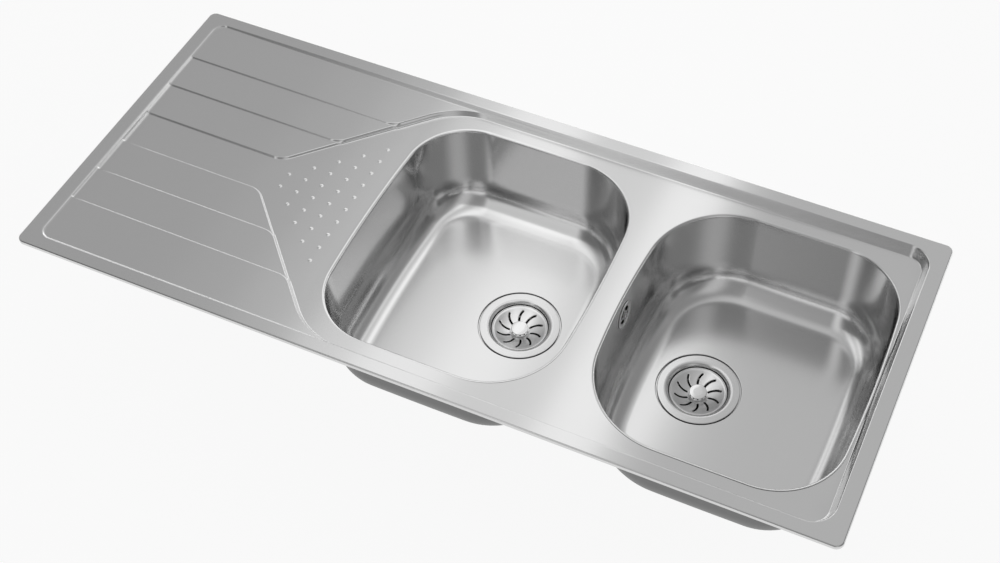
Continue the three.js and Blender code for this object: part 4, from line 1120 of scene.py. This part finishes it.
def basket_face(side):
    x = DRAIN_X[side]
    turns = [SLOT_TURN[side] + i * 2 * math.pi / SLOTS for i in range(SLOTS)]

    def height(px, py):
        away = slot_distance(px - x, py, turns) - SLOT_HALF_WIDTH
        sink = SLOT_SINK * np.clip(1 - away / SLOT_LIP, 0, 1) ** 2
        return dish_height(np.hypot(px - x, py)) - sink

    def on_dish(px, py):
        distance = np.hypot(px - x, py)
        in_slot = slot_distance(px - x, py, turns) <= SLOT_HALF_WIDTH
        return (distance < BASKET_REACH) & (distance > BASKET_HOLE) & ~in_slot

    lines = [circle(radius, count, x) for radius, count in
             ((BASKET_REACH, CIRCLE_POINTS), (35.2, 72), (BASKET_FLAT, 36), (14, 36), (BASKET_HOLE, 16))]
    lines += [slot_outline(turn, grow) + (x, 0) for turn in turns for grow in (0.0, 0.3, 0.65, SLOT_LIP)]
    lines += [circle(radius, 72, x) for radius in (19, 22.5, 26, 29.5)]
    return pressed_face(height, lines, on_dish).joined(turned_face(rolled_edge(), x))


for side in SIDES:
    basket = sheet(f"{side}_slotted_basket", basket_face(side), BASKET_SHEET, basket_steel)
    settle(basket, f"{side}_basket", f"{side}_basket")

# %% [markdown]
# ## Knobs and stoppers
#
# The knob lifts the basket. It is turned from bar, a low button with a soft edge and a
# waist under it for the fingers. The rubber stopper hangs below on the same stem, with a
# thin lip that seals on the cup's bottom.

# %% Build the knobs and the stoppers
KNOB_RADIUS = 12.3
KNOB_HEIGHT = 8.6
KNOB_BASE = 0.3 - BASKET_CENTRE


def knob_outline():
    top = KNOB_BASE + KNOB_HEIGHT
    return filleted([
        (0, KNOB_BASE, 0), (KNOB_RADIUS - 1.2, KNOB_BASE, 0.3), (KNOB_RADIUS - 1.6, KNOB_BASE + 1.2, 0.6),
        (KNOB_RADIUS - 1.6, top - 4.6, 0.9), (KNOB_RADIUS, top - 3.6, 0.7), (KNOB_RADIUS, top - 0.2, 0.9),
        (KNOB_RADIUS * 0.5, top - 0.02, 4.0), (0, top, 0)])


def stopper_outline():
    low = corners("left_stopper")[0].z - FLOOR_Z
    return filleted([
        (0, low + 3.5, 0), (7.0, low + 3.5, 0.5), (7.6, low, 0.5), (27, low, 0.6), (29, low + 1.0, 0.8),
        (34, low + 0.6, 0.8), (36, low, 0.3), (36, low + 1.2, 0.4), (31, low + 3.2, 2.5),
        (29, low + 5.0, 1.4), (7.0, low + 6.0, 2.0), (5.5, -BASKET_CENTRE - 1.3, 0.4),
        (4.0, -BASKET_CENTRE - 1.3, 0.2), (4.0, -BASKET_CENTRE, 0.2), (0, -BASKET_CENTRE, 0)])


for side in SIDES:
    knob = turned_piece(f"{side}_turned_knob", knob_outline(), 64, bright_steel, at_drain(side))
    settle(knob, f"{side}_basket", f"{side}_basket_knob")
    stopper = turned_piece(f"{side}_rubber_stopper", stopper_outline(), 80, black_rubber, at_drain(side))
    settle(stopper, f"{side}_stopper", f"{side}_stopper")

# %% [markdown]
# ## The wastes under the bowls
#
# The waste body is moulded: a flanged chamber, a funnel and a threaded outlet. Ribs keep
# its flange stiff, and the pipe's nut runs on the thread. The right body also takes the
# overflow's pipe from the side. A foam ring lies over the seat, a thick rubber ring under
# it, and one long screw pulls the cup and the body together.

# %% Sections of the waste body
BODY_RADIUS = 61.0
CHAMBER_RADIUS = 43.9
BODY_WALL = 2.6
BODY_TOP = -6.9
CHAMBER_BOTTOM = BODY_TOP - 38.0
OUTLET_TOP = CHAMBER_BOTTOM - 14.0
OUTLET_END = OUTLET_TOP - 20.0
OUTLET_RADIUS = 23.9
OUTLET_BORE = 20.3
THREAD_PITCH = 2.3
THREAD_DEPTH = 1.3
SPOKE_TOP = -CUP_DEPTH - FLANGE_SHEET - 0.3
INLET_DROP = 33.0
INLET_REACH, INLET_ROOT = 14.0, 2.0  # how far the inlet stands out of the chamber, and reaches into it
INLET_END = -CHAMBER_RADIUS - BODY_WALL - INLET_REACH
PIPE_RADIUS = 9.0
PIPE_BORE = 7.2
FOAM_LEVELS = (-2.3, -1.5)
RUBBER_LEVELS = (-6.6, -4.1)


def thread(radius, depth, pitch, low, high):
    """(radius, z) points of a thread seen from the side, from low to high."""
    points = []
    z = low
    while z + pitch <= high:
        points += [(radius - depth, z), (radius - 0.1, z + 0.38 * pitch), (radius - 0.1, z + 0.62 * pitch)]
        z += pitch
    return points + [(radius - depth, z)]


def body_outline():
    screw_thread = thread(OUTLET_RADIUS, THREAD_DEPTH, THREAD_PITCH, OUTLET_END + 1.0, OUTLET_TOP - 1.5)
    outer = CHAMBER_RADIUS + BODY_WALL
    corner_points = [(OUTLET_BORE, OUTLET_END, 0.3), (OUTLET_RADIUS - THREAD_DEPTH, OUTLET_END, 0.3)]
    corner_points += [(radius, z, 0) for radius, z in screw_thread]
    corner_points += [
        (OUTLET_RADIUS - THREAD_DEPTH, OUTLET_TOP - 1.0, 0), (OUTLET_RADIUS + 0.6, OUTLET_TOP, 2.0),
        (outer, CHAMBER_BOTTOM, 4.0), (outer, BODY_TOP - 4.0, 1.5), (BODY_RADIUS, BODY_TOP - 4.0, 0.6),
        (BODY_RADIUS, BODY_TOP, 0.5), (CHAMBER_RADIUS, BODY_TOP, 0.5), (CHAMBER_RADIUS, CHAMBER_BOTTOM, 3.0),
        (OUTLET_BORE, OUTLET_TOP, 2.0)]
    return filleted(corner_points, 4)


def turned_by(mesh, angle):
    points, polygons = mesh
    cos, sin = math.cos(angle), math.sin(angle)
    return [(x * cos - y * sin, x * sin + y * cos, z) for x, y, z in points], polygons


def upright(outline, thickness):
    """A flat plate standing along X, from an outline of (x, z) points."""
    points, polygons = extruded_mesh(outline, -thickness / 2, thickness / 2)
    return [(x, z, y) for x, y, z in points], polygons


def rib():
    outer = CHAMBER_RADIUS + BODY_WALL - 0.4
    return upright([(outer, BODY_TOP - 3.5), (BODY_RADIUS - 2.5, BODY_TOP - 3.5),
                    (BODY_RADIUS - 4.5, BODY_TOP - 7.0), (outer + 1.5, BODY_TOP - 24.0),
                    (outer, BODY_TOP - 24.0)], 2.2)


def spoke():
    reach = CHAMBER_RADIUS + 1
    return upright([(3.5, SPOKE_TOP - 8), (reach - 7, SPOKE_TOP - 8), (reach, SPOKE_TOP - 5),
                    (reach, SPOKE_TOP), (3.5, SPOKE_TOP)], 4.0)


def inlet():
    """The spout that takes the overflow's pipe, laid along X, its free end to the left."""
    reach = INLET_REACH + INLET_ROOT
    outline = filleted([(PIPE_BORE, 0, 0.2), (PIPE_RADIUS + 2.0, 0, 0), (PIPE_RADIUS + 2.0, 2.6, 0.6),
                        (PIPE_RADIUS, 3.6, 0.5), (PIPE_RADIUS, reach, 0.4), (PIPE_BORE, reach, 0.4)])
    points, polygons = turned_mesh(outline, 48)
    return [(INLET_END + reach - z, y, x - INLET_DROP) for x, y, z in points], polygons


# %% Build the waste bodies and their seals
def waste_body(side):
    hub = ring_outline(SCREW_HOLE, 8, SPOKE_TOP - 8, SPOKE_TOP, 0.2, 0.6, 0.6, 0.2)
    parts = [turned_mesh(body_outline()), turned_mesh(hub, 32)]
    parts += [turned_by(spoke(), (i + 0.5) * math.pi / 2) for i in range(4)]
    parts += [turned_by(rib(), (i + 0.5) * math.pi / 6) for i in range(12)]
    if side == "right":
        parts.append(inlet())
    return closed_piece(f"{side}_moulded_body", *together(*parts), black_plastic, at_drain(side), sharp=32)


foam = ring_outline(DRAIN_HOLE + 0.5, FLANGE_RADIUS - 0.5, *FOAM_LEVELS, 0.2)
rubber = ring_outline(BODY_RADIUS - 13.5, BODY_RADIUS - 1, *RUBBER_LEVELS, 0.6)
for side in SIDES:
    settle(waste_body(side), "sink", f"{side}_waste_body")
    foam_ring = turned_piece(f"{side}_foam_ring", foam, CIRCLE_POINTS, grey_foam, at_drain(side))
    settle(foam_ring, "sink", f"{side}_flange_seal")
    rubber_ring = turned_piece(f"{side}_rubber_ring", rubber, CIRCLE_POINTS, black_rubber, at_drain(side))
    settle(rubber_ring, "sink", f"{side}_body_seal")

# %% [markdown]
# ## Screws
#
# The clamp screw in each cup has a low round head with a slot. The clips' screws have
# hexagon heads that a spanner turns from below. Both have a thread, which is drawn as
# rings: at this size nobody can tell a ring from a turn of a helix.

# %% Build the clamp screws
def slotted_head(radius, base, height, slot_width, slot_depth):
    """A round head in two halves with a slot between them, on a thin disc."""
    floor = base + height - slot_depth
    parts = [turned_mesh(ring_outline(0, radius, base, floor, 0, 0.2, 0, 0), 40)]
    half = math.asin(slot_width / 2 / radius)
    for turn in (0.0, math.pi):
        rim = arc(0, 0, radius - 0.02, turn + half, turn + math.pi - half, 18)
        crown = arc(0, 0, radius - 0.9, turn + half * 1.25, turn + math.pi - half * 1.25, 18)
        rings = ((rim, floor), (rim, base + height - 0.8), (crown, base + height))
        parts.append(stacked_mesh([[(x, y, z) for x, y in ring] for ring, z in rings]))
    return parts


def shank(radius, low, high, pitch, depth):
    return turned_mesh(np.array([(0, low)] + thread(radius, depth, pitch, low, high) + [(0, high)]), 28)


for side in SIDES:
    seat = -CUP_DEPTH + 0.3
    parts = slotted_head(6.0, seat, 2.6, 1.6, 1.5) + [shank(3.0, seat - 22, seat, 1.0, 0.4)]
    screw = closed_piece(f"{side}_slotted_screw", *together(*parts), zinc, at_drain(side))
    settle(screw, "sink", f"{side}_clamp_screw")

# %% [markdown]
# ## The overflow
#
# A round rosette covers the hole in the right bowl's wall. Water runs through its four
# windows into a moulded cup behind the wall, down the pipe between the bowls and into the
# waste. All of these lie along the wall's own direction, which leans by the draft.

# %% Where the overflow lies
WALL_X = RIGHT_BOWL_START + (OVERFLOW_DROP - EDGE_ROLL) * math.tan(BOWL_DRAFT)
ON_WALL = at(WALL_X, 0, OVERFLOW_Z) @ Matrix.Rotation(math.pi / 2 - BOWL_DRAFT, 4, "Y")
ON_WALL_MM = ON_WALL.copy()
ON_WALL_MM.translation = ON_WALL.translation / MM
print("the wall's face is at x =", round(WALL_X, 2))

# %% Build the rosette
ROSETTE_RADIUS, ROSETTE_HOLE = 20.0, 3.0
RIM_MIDDLE, RIM_REACH, DISH_RADIUS = 17.6, 2.42, 15.4
WINDOW_FROM, WINDOW_TO = 6.5, 13.5
BRIDGE = 1.2  # half the width of what stands between two windows
ROSETTE_SHEET = 0.45


def rosette_height(x, y):
    """Above the wall: a round rim, a dish that sinks to the windows, and a raised middle."""
    radius = np.hypot(x, y)
    rim = 0.5 + 1.5 * np.sqrt(1 - np.clip(np.abs(radius - RIM_MIDDLE) / RIM_REACH, 0, 1) ** 2)
    dish = 0.75 + 0.7 * np.clip(1 - (radius - 4) / 5, 0, 1)
    return np.where(radius > DISH_RADIUS, rim, dish)


def rosette_face():
    low, high = math.asin(BRIDGE / WINDOW_TO), math.asin(BRIDGE / WINDOW_FROM)
    window = np.vstack((arc(0, 0, WINDOW_TO, low, math.pi / 2 - low, 12),
                        arc(0, 0, WINDOW_FROM, math.pi / 2 - high, high, 6)))
    turns = [turn * math.pi / 2 for turn in range(4)]
    windows = [window @ np.array(((math.cos(t), math.sin(t)), (-math.sin(t), math.cos(t)))) for t in turns]

    def on_rosette(x, y):
        radius = np.hypot(x, y)
        in_window = (radius > WINDOW_FROM) & (radius < WINDOW_TO)
        in_window &= np.minimum(np.abs(x), np.abs(y)) >= BRIDGE
        return (radius < ROSETTE_RADIUS) & (radius > ROSETTE_HOLE) & ~in_window

    rings = [circle(radius, 64) for radius in (ROSETTE_RADIUS, 19.8, 19.4, 18.9, 18.3, RIM_MIDDLE, 16.9,
                                               16.3, 15.8, DISH_RADIUS + 0.05, DISH_RADIUS - 0.05, 14.4)]
    rings += windows + [circle(ROSETTE_HOLE, 24), circle(5, 32)]
    return pressed_face(rosette_height, rings, on_rosette).moved(ON_WALL_MM)


cover = sheet("overflow_cover", rosette_face(), ROSETTE_SHEET, cover_steel)
settle(cover, "sink", "overflow_rosette")

# %% Build the overflow's screw and seal
screw_parts = slotted_head(4.9, 1.5, 1.8, 1.0, 1.0) + [shank(2.7, -12.5, 1.5, 0.9, 0.35)]
overflow_screw = closed_piece("overflow_slotted_screw", *together(*screw_parts), bright_steel, ON_WALL)
settle(overflow_screw, "sink", "overflow_screw")
seal_outline = ring_outline(15.0, 19.0, -3.3, -1.3, 0.5)
settle(turned_piece("overflow_rubber_ring", seal_outline, 64, black_rubber, ON_WALL),
       "sink", "overflow_seal")

# %% Build the overflow's moulded body
BODY_FACE, BODY_BACK = -3.6, -18.6  # behind the wall
CUP_OUTSIDE, CUP_INSIDE = 19.0, 14.0
PIPE_X = WALL_X + (BODY_FACE + BODY_BACK) / 2
PIPE_TOP = OVERFLOW_Z - 29.0


def moved_mesh(mesh, matrix):
    points, polygons = mesh
    return [tuple(matrix @ Vector(point)) for point in points], polygons


def overflow_body():
    cup = filleted([(0, BODY_BACK, 0), (CUP_OUTSIDE, BODY_BACK, 2.5), (CUP_OUTSIDE, BODY_FACE, 0.4),
                    (CUP_INSIDE, BODY_FACE, 0.4), (CUP_INSIDE, BODY_BACK + 2, 1.5), (0, BODY_BACK + 2, 0)])
    collar = ring_outline(CUP_OUTSIDE - 0.6, CUP_OUTSIDE, BODY_FACE - 5, BODY_FACE - 3, 0.2, 0, 0, 0.2)
    boss = ring_outline(3, 5, BODY_BACK + 1, BODY_FACE, 0.2, 0.2, 0.3, 0.3)
    spigot = ring_outline(3.7, 7, PIPE_TOP + 0.3, OVERFLOW_Z - 15, 0.3, 0.4, 0, 0)
    neck = ring_outline(3.7, 8.6, OVERFLOW_Z - 24, OVERFLOW_Z - 17, 0.3, 0.5, 0.3, 0)
    parts = [moved_mesh(turned_mesh(outline, 56), ON_WALL_MM) for outline in (cup, collar, boss)]
    parts += [moved_mesh(turned_mesh(outline, 36), Matrix.Translation((PIPE_X, 0, 0)))
              for outline in (spigot, neck)]
    return closed_piece("overflow_moulded_body", *together(*parts), black_plastic)


settle(overflow_body(), "sink", "overflow_body")

# %% Build the overflow's pipe
PIPE_BEND = 22.0
PIPE_SOFT_END = 0.4
INLET_Z = FLOOR_Z - INLET_DROP
PIPE_END = DRAIN_X["right"] + INLET_END - 0.3


def pipe_path():
    """(x, z, direction) stations: down, round the bend and along to the waste."""
    down = -math.pi / 2
    bend_x, bend_z = PIPE_X + PIPE_BEND, INLET_Z + PIPE_BEND
    heights = [PIPE_TOP, PIPE_TOP - 0.5, *np.linspace(PIPE_TOP, bend_z, 6)[1:]]
    stations = [(PIPE_X, z, down) for z in heights]
    stations += [(bend_x - PIPE_BEND * math.cos(t), bend_z - PIPE_BEND * math.sin(t), down + t)
                 for t in np.linspace(0, math.pi / 2, 17)[1:]]
    return stations + [(PIPE_END, INLET_Z, 0.0)]


def tube_mesh(stations, radii, bore, count=40):
    """A tube along stations in the XZ plane, with an outer radius for each of them."""
    turns = np.linspace(0, 2 * math.pi, count, endpoint=False)
    points = []
    for wall in (radii, [bore] * len(stations)):
        for (x, z, heading), radius in zip(stations, wall):
            points += [(x - radius * math.cos(t) * math.sin(heading), radius * math.sin(t),
                        z + radius * math.cos(t) * math.cos(heading)) for t in turns]
    outer = list(range(len(stations)))
    inner = [len(stations) + station for station in outer]
    return points, ring_loop(outer + inner[::-1], count)


stations = pipe_path()
radii = [PIPE_RADIUS - PIPE_SOFT_END] + [PIPE_RADIUS] * (len(stations) - 1)
pipe = closed_piece("overflow_elbow_pipe", *tube_mesh(stations, radii, PIPE_BORE), black_plastic)
settle(pipe, "sink", "overflow_pipe")


# %% Build the pipe's nut
def nut_mesh(radius, height, bore, lobes=10, count=120):
    """A union nut with grip lobes, about the X axis."""
    turns = np.linspace(0, 2 * math.pi, count, endpoint=False)
    wave = (0.5 + 0.5 * np.cos(lobes * turns)) ** 0.6
    rings = [(x, radius * share - 1.3 * deep * (1 - wave)) for x, share, deep in
             ((-0.5, 0.92, 0.4), (-0.42, 1.0, 1.0), (0.42, 1.0, 1.0), (0.5, 0.92, 0.4))]
    rings += [(x, np.full(count, bore)) for x in (0.5, -0.5)]
    points = [(x * height, r * math.cos(t), r * math.sin(t))
              for x, reach in rings for t, r in zip(turns, reach)]
    return points, ring_loop(list(range(len(rings))), count)


nut = closed_piece("overflow_union_nut", *nut_mesh(14.5, 14.0, 9.3), black_plastic, at(PIPE_END, 0, INLET_Z))
settle(nut, "sink", "overflow_nut")

# %% [markdown]
# ## Sound pads
#
# A thick damping pad is glued under each floor, cut to the floor's outline with a clear
# ring round the waste. Its edges are soft.

# %% Build the sound pads
PAD_INSET = 62.0
PAD_HOLE = 72.0


def pad_face(side, top):
    plan, drain_x = PLANS[side], DRAIN_X[side]

    def on_pad(x, y):
        return (plan.inside(x, y) > PAD_INSET) & (np.hypot(x - drain_x, y) > PAD_HOLE)

    return flat_face(top, [plan.outline(-PAD_INSET), circle(PAD_HOLE, 72, drain_x)], on_pad)


for side in SIDES:
    low, high = corners(f"{side}_sound_pad")
    pad_mesh = thickened(pad_face(side, high.z), high.z - low.z)
    pad = closed_piece(f"{side}_damping_pad", *pad_mesh, pad_felt)
    settle(bevelled(pad, 0.8), "sink", f"{side}_sound_pad")

# %% [markdown]
# ## Clips
#
# Eight clips pull the sink down on the worktop. Each has a bracket that hooks over the
# rail, a screw in the bracket's shelf, and a claw that swings out under the worktop. The
# claw is a bent strip with teeth at its tip, so that it bites when the screw is turned.

# %% Build the clips' screws
CLIP_HEAD_HEIGHT = 4.0
CLIP_THREAD = (2.5, 0.35, 0.8)  # radius, depth and pitch


def clip_place(screw, z, turn=0.0):
    """On the axis of a clip's screw, at the height `z`."""
    middle = sum(corners(screw), Vector()) / 2
    return at(middle.x, middle.y, z) @ Matrix.Rotation(turn, 4, "Z")


def hexagon_head(across, height):
    """A hexagon head, and the round collar on it where the shank begins."""
    hexagon = extruded_mesh(circle(across / 2 / math.cos(math.pi / 6), 6), 0.0, height)
    collar = turned_mesh(ring_outline(0, across / 2, height - 0.8, height, 0, 0.2, 0.2, 0), 36)
    return [hexagon, collar]


def clip_screw(name):
    low, high = corners(name)
    radius, depth, pitch = CLIP_THREAD
    length = high.z - low.z
    tip = filleted([(0, length - 0.8, 0), (radius - depth, length - 0.8, 0),
                    (radius - depth - 0.4, length, 0.2), (0, length, 0)])
    parts = hexagon_head(8.6, CLIP_HEAD_HEIGHT)
    parts += [shank(radius, CLIP_HEAD_HEIGHT - 0.2, length - 0.6, pitch, depth), turned_mesh(tip, 28)]
    return bevelled(closed_piece(f"{name}_threaded", *together(*parts), zinc, clip_place(name, low.z)), 0.3)


# %% Build the clips' claws
CLAW_HALF_WIDTH = 6.5
CLAW_THICKNESS = 3.0
CLAW_TIP = 14.0
CLAW_BEND = 2.6  # radius inside the bend
CLAW_HOLE = 2.8
TEETH = 3
REST_TURN = {"back": -math.pi / 2, "left": 0.0, "front": math.pi / 2, "right": math.pi}  # along the rail


def claw_face(reach):
    """The strip's lower and outer face: flat round the screw, then bent up at the tip."""
    outer_bend = CLAW_BEND + CLAW_THICKNESS
    flat_end = reach - outer_bend
    columns = np.linspace(-CLAW_HALF_WIDTH, CLAW_HALF_WIDTH, 2 * TEETH + 1)
    hub = arc(0, 0, CLAW_HALF_WIDTH, math.pi, 2 * math.pi, 16)
    tip_row = np.column_stack((columns[::-1], np.full(len(columns), flat_end)))
    outline = np.vstack((hub, tip_row))

    def on_flat(x, y):
        radius = np.hypot(x, y)
        in_strip = (y < flat_end) & (np.abs(x) < CLAW_HALF_WIDTH)
        return (radius > CLAW_HOLE) & in_strip & ((y > 0) | (radius < CLAW_HALF_WIDTH))

    flat = flat_face(0.0, [outline, circle(CLAW_HOLE, 24)], on_flat)
    flat.normals *= -1
    flat.polygons = [polygon[::-1] for polygon in flat.polygons]
    rings, normals = [], []
    for turn in np.linspace(0, math.pi / 2, 7):
        y, z = flat_end + outer_bend * math.sin(turn), outer_bend * (1 - math.cos(turn))
        rings.append(np.column_stack((columns, np.full_like(columns, y), np.full_like(columns, z))))
        normals.append(np.tile((0, math.sin(turn), -math.cos(turn)), (len(columns), 1)))
    for height, bite in ((CLAW_TIP - 3.2, 0.0), (CLAW_TIP, 2.2)):
        teeth = np.where(np.arange(len(columns)) % 2 == 1, height - bite, height)
        rings.append(np.column_stack((columns, np.full_like(columns, reach), teeth)))
        normals.append(np.tile((0.0, 1.0, 0.0), (len(columns), 1)))
    return flat.joined(ring_face(rings, normals, closed=False))


def clip_claw(name, side, screw):
    low, high = corners(name)
    reach = max(high.x - low.x, high.y - low.y) - CLAW_HALF_WIDTH
    mesh = thickened(claw_face(reach), CLAW_THICKNESS)
    place = clip_place(screw, low.z, REST_TURN[side])
    return bevelled(closed_piece(f"{name}_bent", *mesh, zinc, place), 0.45)


CLIPS = [(side, number) for side in ("front", "back") for number in (1, 2, 3)] + [("left", 1), ("right", 1)]
for side, number in CLIPS:
    screw, claw = f"clip_{side}_{number}_screw", f"clip_{side}_{number}_claw"
    settle(clip_screw(screw), screw, screw)
    settle(clip_claw(claw, side, screw), claw, claw)

# %% [markdown]
# ## Rails, brackets and the rim's seal
#
# These are folded strips and a square foam cord. The model's own shapes are already
# right, so they stay: they get the finish of zinc plate or foam, and the folded strips
# get the small rounding that a folded edge has.

# %% Finish the carried-over pieces
CARRIED = {f"{side}_rail": (zinc, 0.3) for side in REST_TURN}
CARRIED.update({f"clip_{side}_{number}_bracket": (zinc, 0.4) for side, number in CLIPS})
CARRIED["rim_seal"] = (grey_foam, 0.6)
for node, (material, rounding) in CARRIED.items():
    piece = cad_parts[node]
    for material_slot in piece.material_slots:
        material_slot.material = material
    bevelled(piece, rounding)
print("carried over:", len(CARRIED), "pieces")

# %% [markdown]
# ## The floor and the light
#
# The picture shows the sink on plain white. The floor is white where the camera, or metal
# that mirrors it, sees it, and still keeps a light shadow. Steel has no colour of its own:
# it shows what hangs round it. So a soft box hangs low over the sink, in strips across its
# length that are brightest at both ends of the left bowl. The room behind the soft box is
# lit by direction: pale low down at the back and behind the camera on its left, grey
# overhead and dark to the right.

# %% The floor
FLOOR_GLOW = 0.92
FLOOR_HALF_SIZE = 6.0
FLOOR_GAP = 0.02  # below the lowest piece


def add_floor():
    z = cad_box[0][2] - FLOOR_GAP
    square = [(x * FLOOR_HALF_SIZE, y * FLOOR_HALF_SIZE, z) for x, y in ((-1, -1), (1, -1), (1, 1), (-1, 1))]
    mesh = bpy.data.meshes.new("floor")
    mesh.from_pydata(square, [], [(0, 1, 2, 3)])
    finish = Finish("floor_white")
    finish.coat(base_color=(0.85, 0.85, 0.85, 1), roughness=0.9)
    seen, mirrored, through = finish.node(
        "ShaderNodeLightPath", output=("Is Camera Ray", "Is Glossy Ray", "Is Transmission Ray"))
    share = (seen + mirrored + through) * FLOOR_GLOW
    glow = finish.node("ShaderNodeEmission", None, {"Color": (1, 1, 1, 1), "Strength": 1.0})
    surface = Socket(finish, finish.shader.outputs[0])
    mixed = finish.node("ShaderNodeMixShader", None, {0: share, 1: surface, 2: glow})
    finish.put(finish.tree.nodes["Material Output"].inputs["Surface"], mixed)
    placed("floor", mesh, finish.material)


add_floor()


# %% The room
class Room(Finish):
    """The world's nodes, with the same sums as a material's."""

    def __init__(self, tree):
        self.tree = tree

    def ramp(self, value, low, high):
        """Rises softly from 0 to 1 while the value goes from low to high."""
        settings = {"interpolation_type": "SMOOTHSTEP", "clamp": True}
        inputs = {0: value, 1: low, 2: high, 3: 0.0, 4: 1.0}
        return self.node("ShaderNodeMapRange", settings, inputs)

    @staticmethod
    def between(share, first, second):
        return share * second + (1 - share) * first


ROOM_LEFT, ROOM_RIGHT = 0.455, 0.61  # overhead, as the deck mirrors it
ROOM_DARK = 0.3  # to the right of the camera, and behind it
ROOM_LIGHT = 1.0  # a light wall behind the camera, to its left
ROOM_CORNER = 0.17  # low down in the front left corner
LOW_BACK, LOW_SIDES, LOW_FRONT_RIGHT = 1.7, 0.2, 1.0


def add_room():
    world = bpy.data.worlds.new("studio")
    bpy.context.scene.world = world
    world.use_nodes = True
    room = Room(world.node_tree)
    place = room.node("ShaderNodeTexCoord", output="Generated")
    x, y, z = room.node("ShaderNodeSeparateXYZ", None, {0: place}, ("X", "Y", "Z"))
    ahead = room.between(room.ramp(x, -0.5, -0.1), ROOM_LEFT, ROOM_RIGHT)
    ahead = room.between(room.ramp(x, 0.0, 0.4), ahead, ROOM_DARK)
    low = room.between(room.ramp(y, 0.35, 0.66), LOW_SIDES, LOW_BACK)
    ahead = room.between(room.ramp(z, 0.12, 0.45), low, ahead)
    low_right = room.between(room.ramp(z, 0.12, 0.26), LOW_FRONT_RIGHT, LOW_SIDES)
    behind = room.between(room.ramp(x, -0.45, -0.25), ROOM_CORNER, ROOM_LIGHT)
    behind = room.between(room.ramp(x, -0.3, -0.09), behind, ROOM_DARK)
    behind = room.between(room.ramp(x, 0.2, 0.45), behind, ROOM_RIGHT)
    behind = room.between(room.ramp(x, 0.55, 0.75), behind, low_right)
    strength = room.between(room.ramp(y * -1, 0.0, 0.45), ahead, behind)
    seen = room.node("ShaderNodeLightPath", output="Is Camera Ray")
    background = room.tree.nodes["Background"]
    room.put(background.inputs["Color"], (1, 1, 1, 1))
    room.put(background.inputs["Strength"], room.between(seen, strength, 1.0))


add_room()
print("the room's world has", len(bpy.context.scene.world.node_tree.nodes), "nodes")


# %% The soft box, in strips
LAMP_HEIGHT = 370.0
LAMP_FRONT, LAMP_BACK = -130.0, 900.0
STRIPS = (  # from, to and how bright, which adds to the room behind it
    (-560, -440, 0.03), (-440, -330, 0.11), (-330, -230, 0.38), (-230, -80, 0.65),
    (-80, 80, 0.31), (80, 190, 0.66), (190, 240, 0.12))


def add_strip(low, high, radiance):
    width, length = (high - low) * MM, (LAMP_BACK - LAMP_FRONT) * MM
    data = bpy.data.lights.new(f"softbox_{low}", "AREA")
    data.shape = "RECTANGLE"
    data.size, data.size_y = width, length
    data.energy = radiance * math.pi * width * length
    lamp = bpy.data.objects.new(data.name, data)
    bpy.context.scene.collection.objects.link(lamp)
    place = Vector(((low + high) / 2, (LAMP_FRONT + LAMP_BACK) / 2, DECK_Z + LAMP_HEIGHT))
    lamp.matrix_world = Matrix.Translation(place * MM)


for low, high, radiance in STRIPS:
    add_strip(low, high, radiance)
bpy.context.scene.view_settings.view_transform = "Standard"
print("lamps:", len(STRIPS), "strips", LAMP_HEIGHT, "mm over the deck")
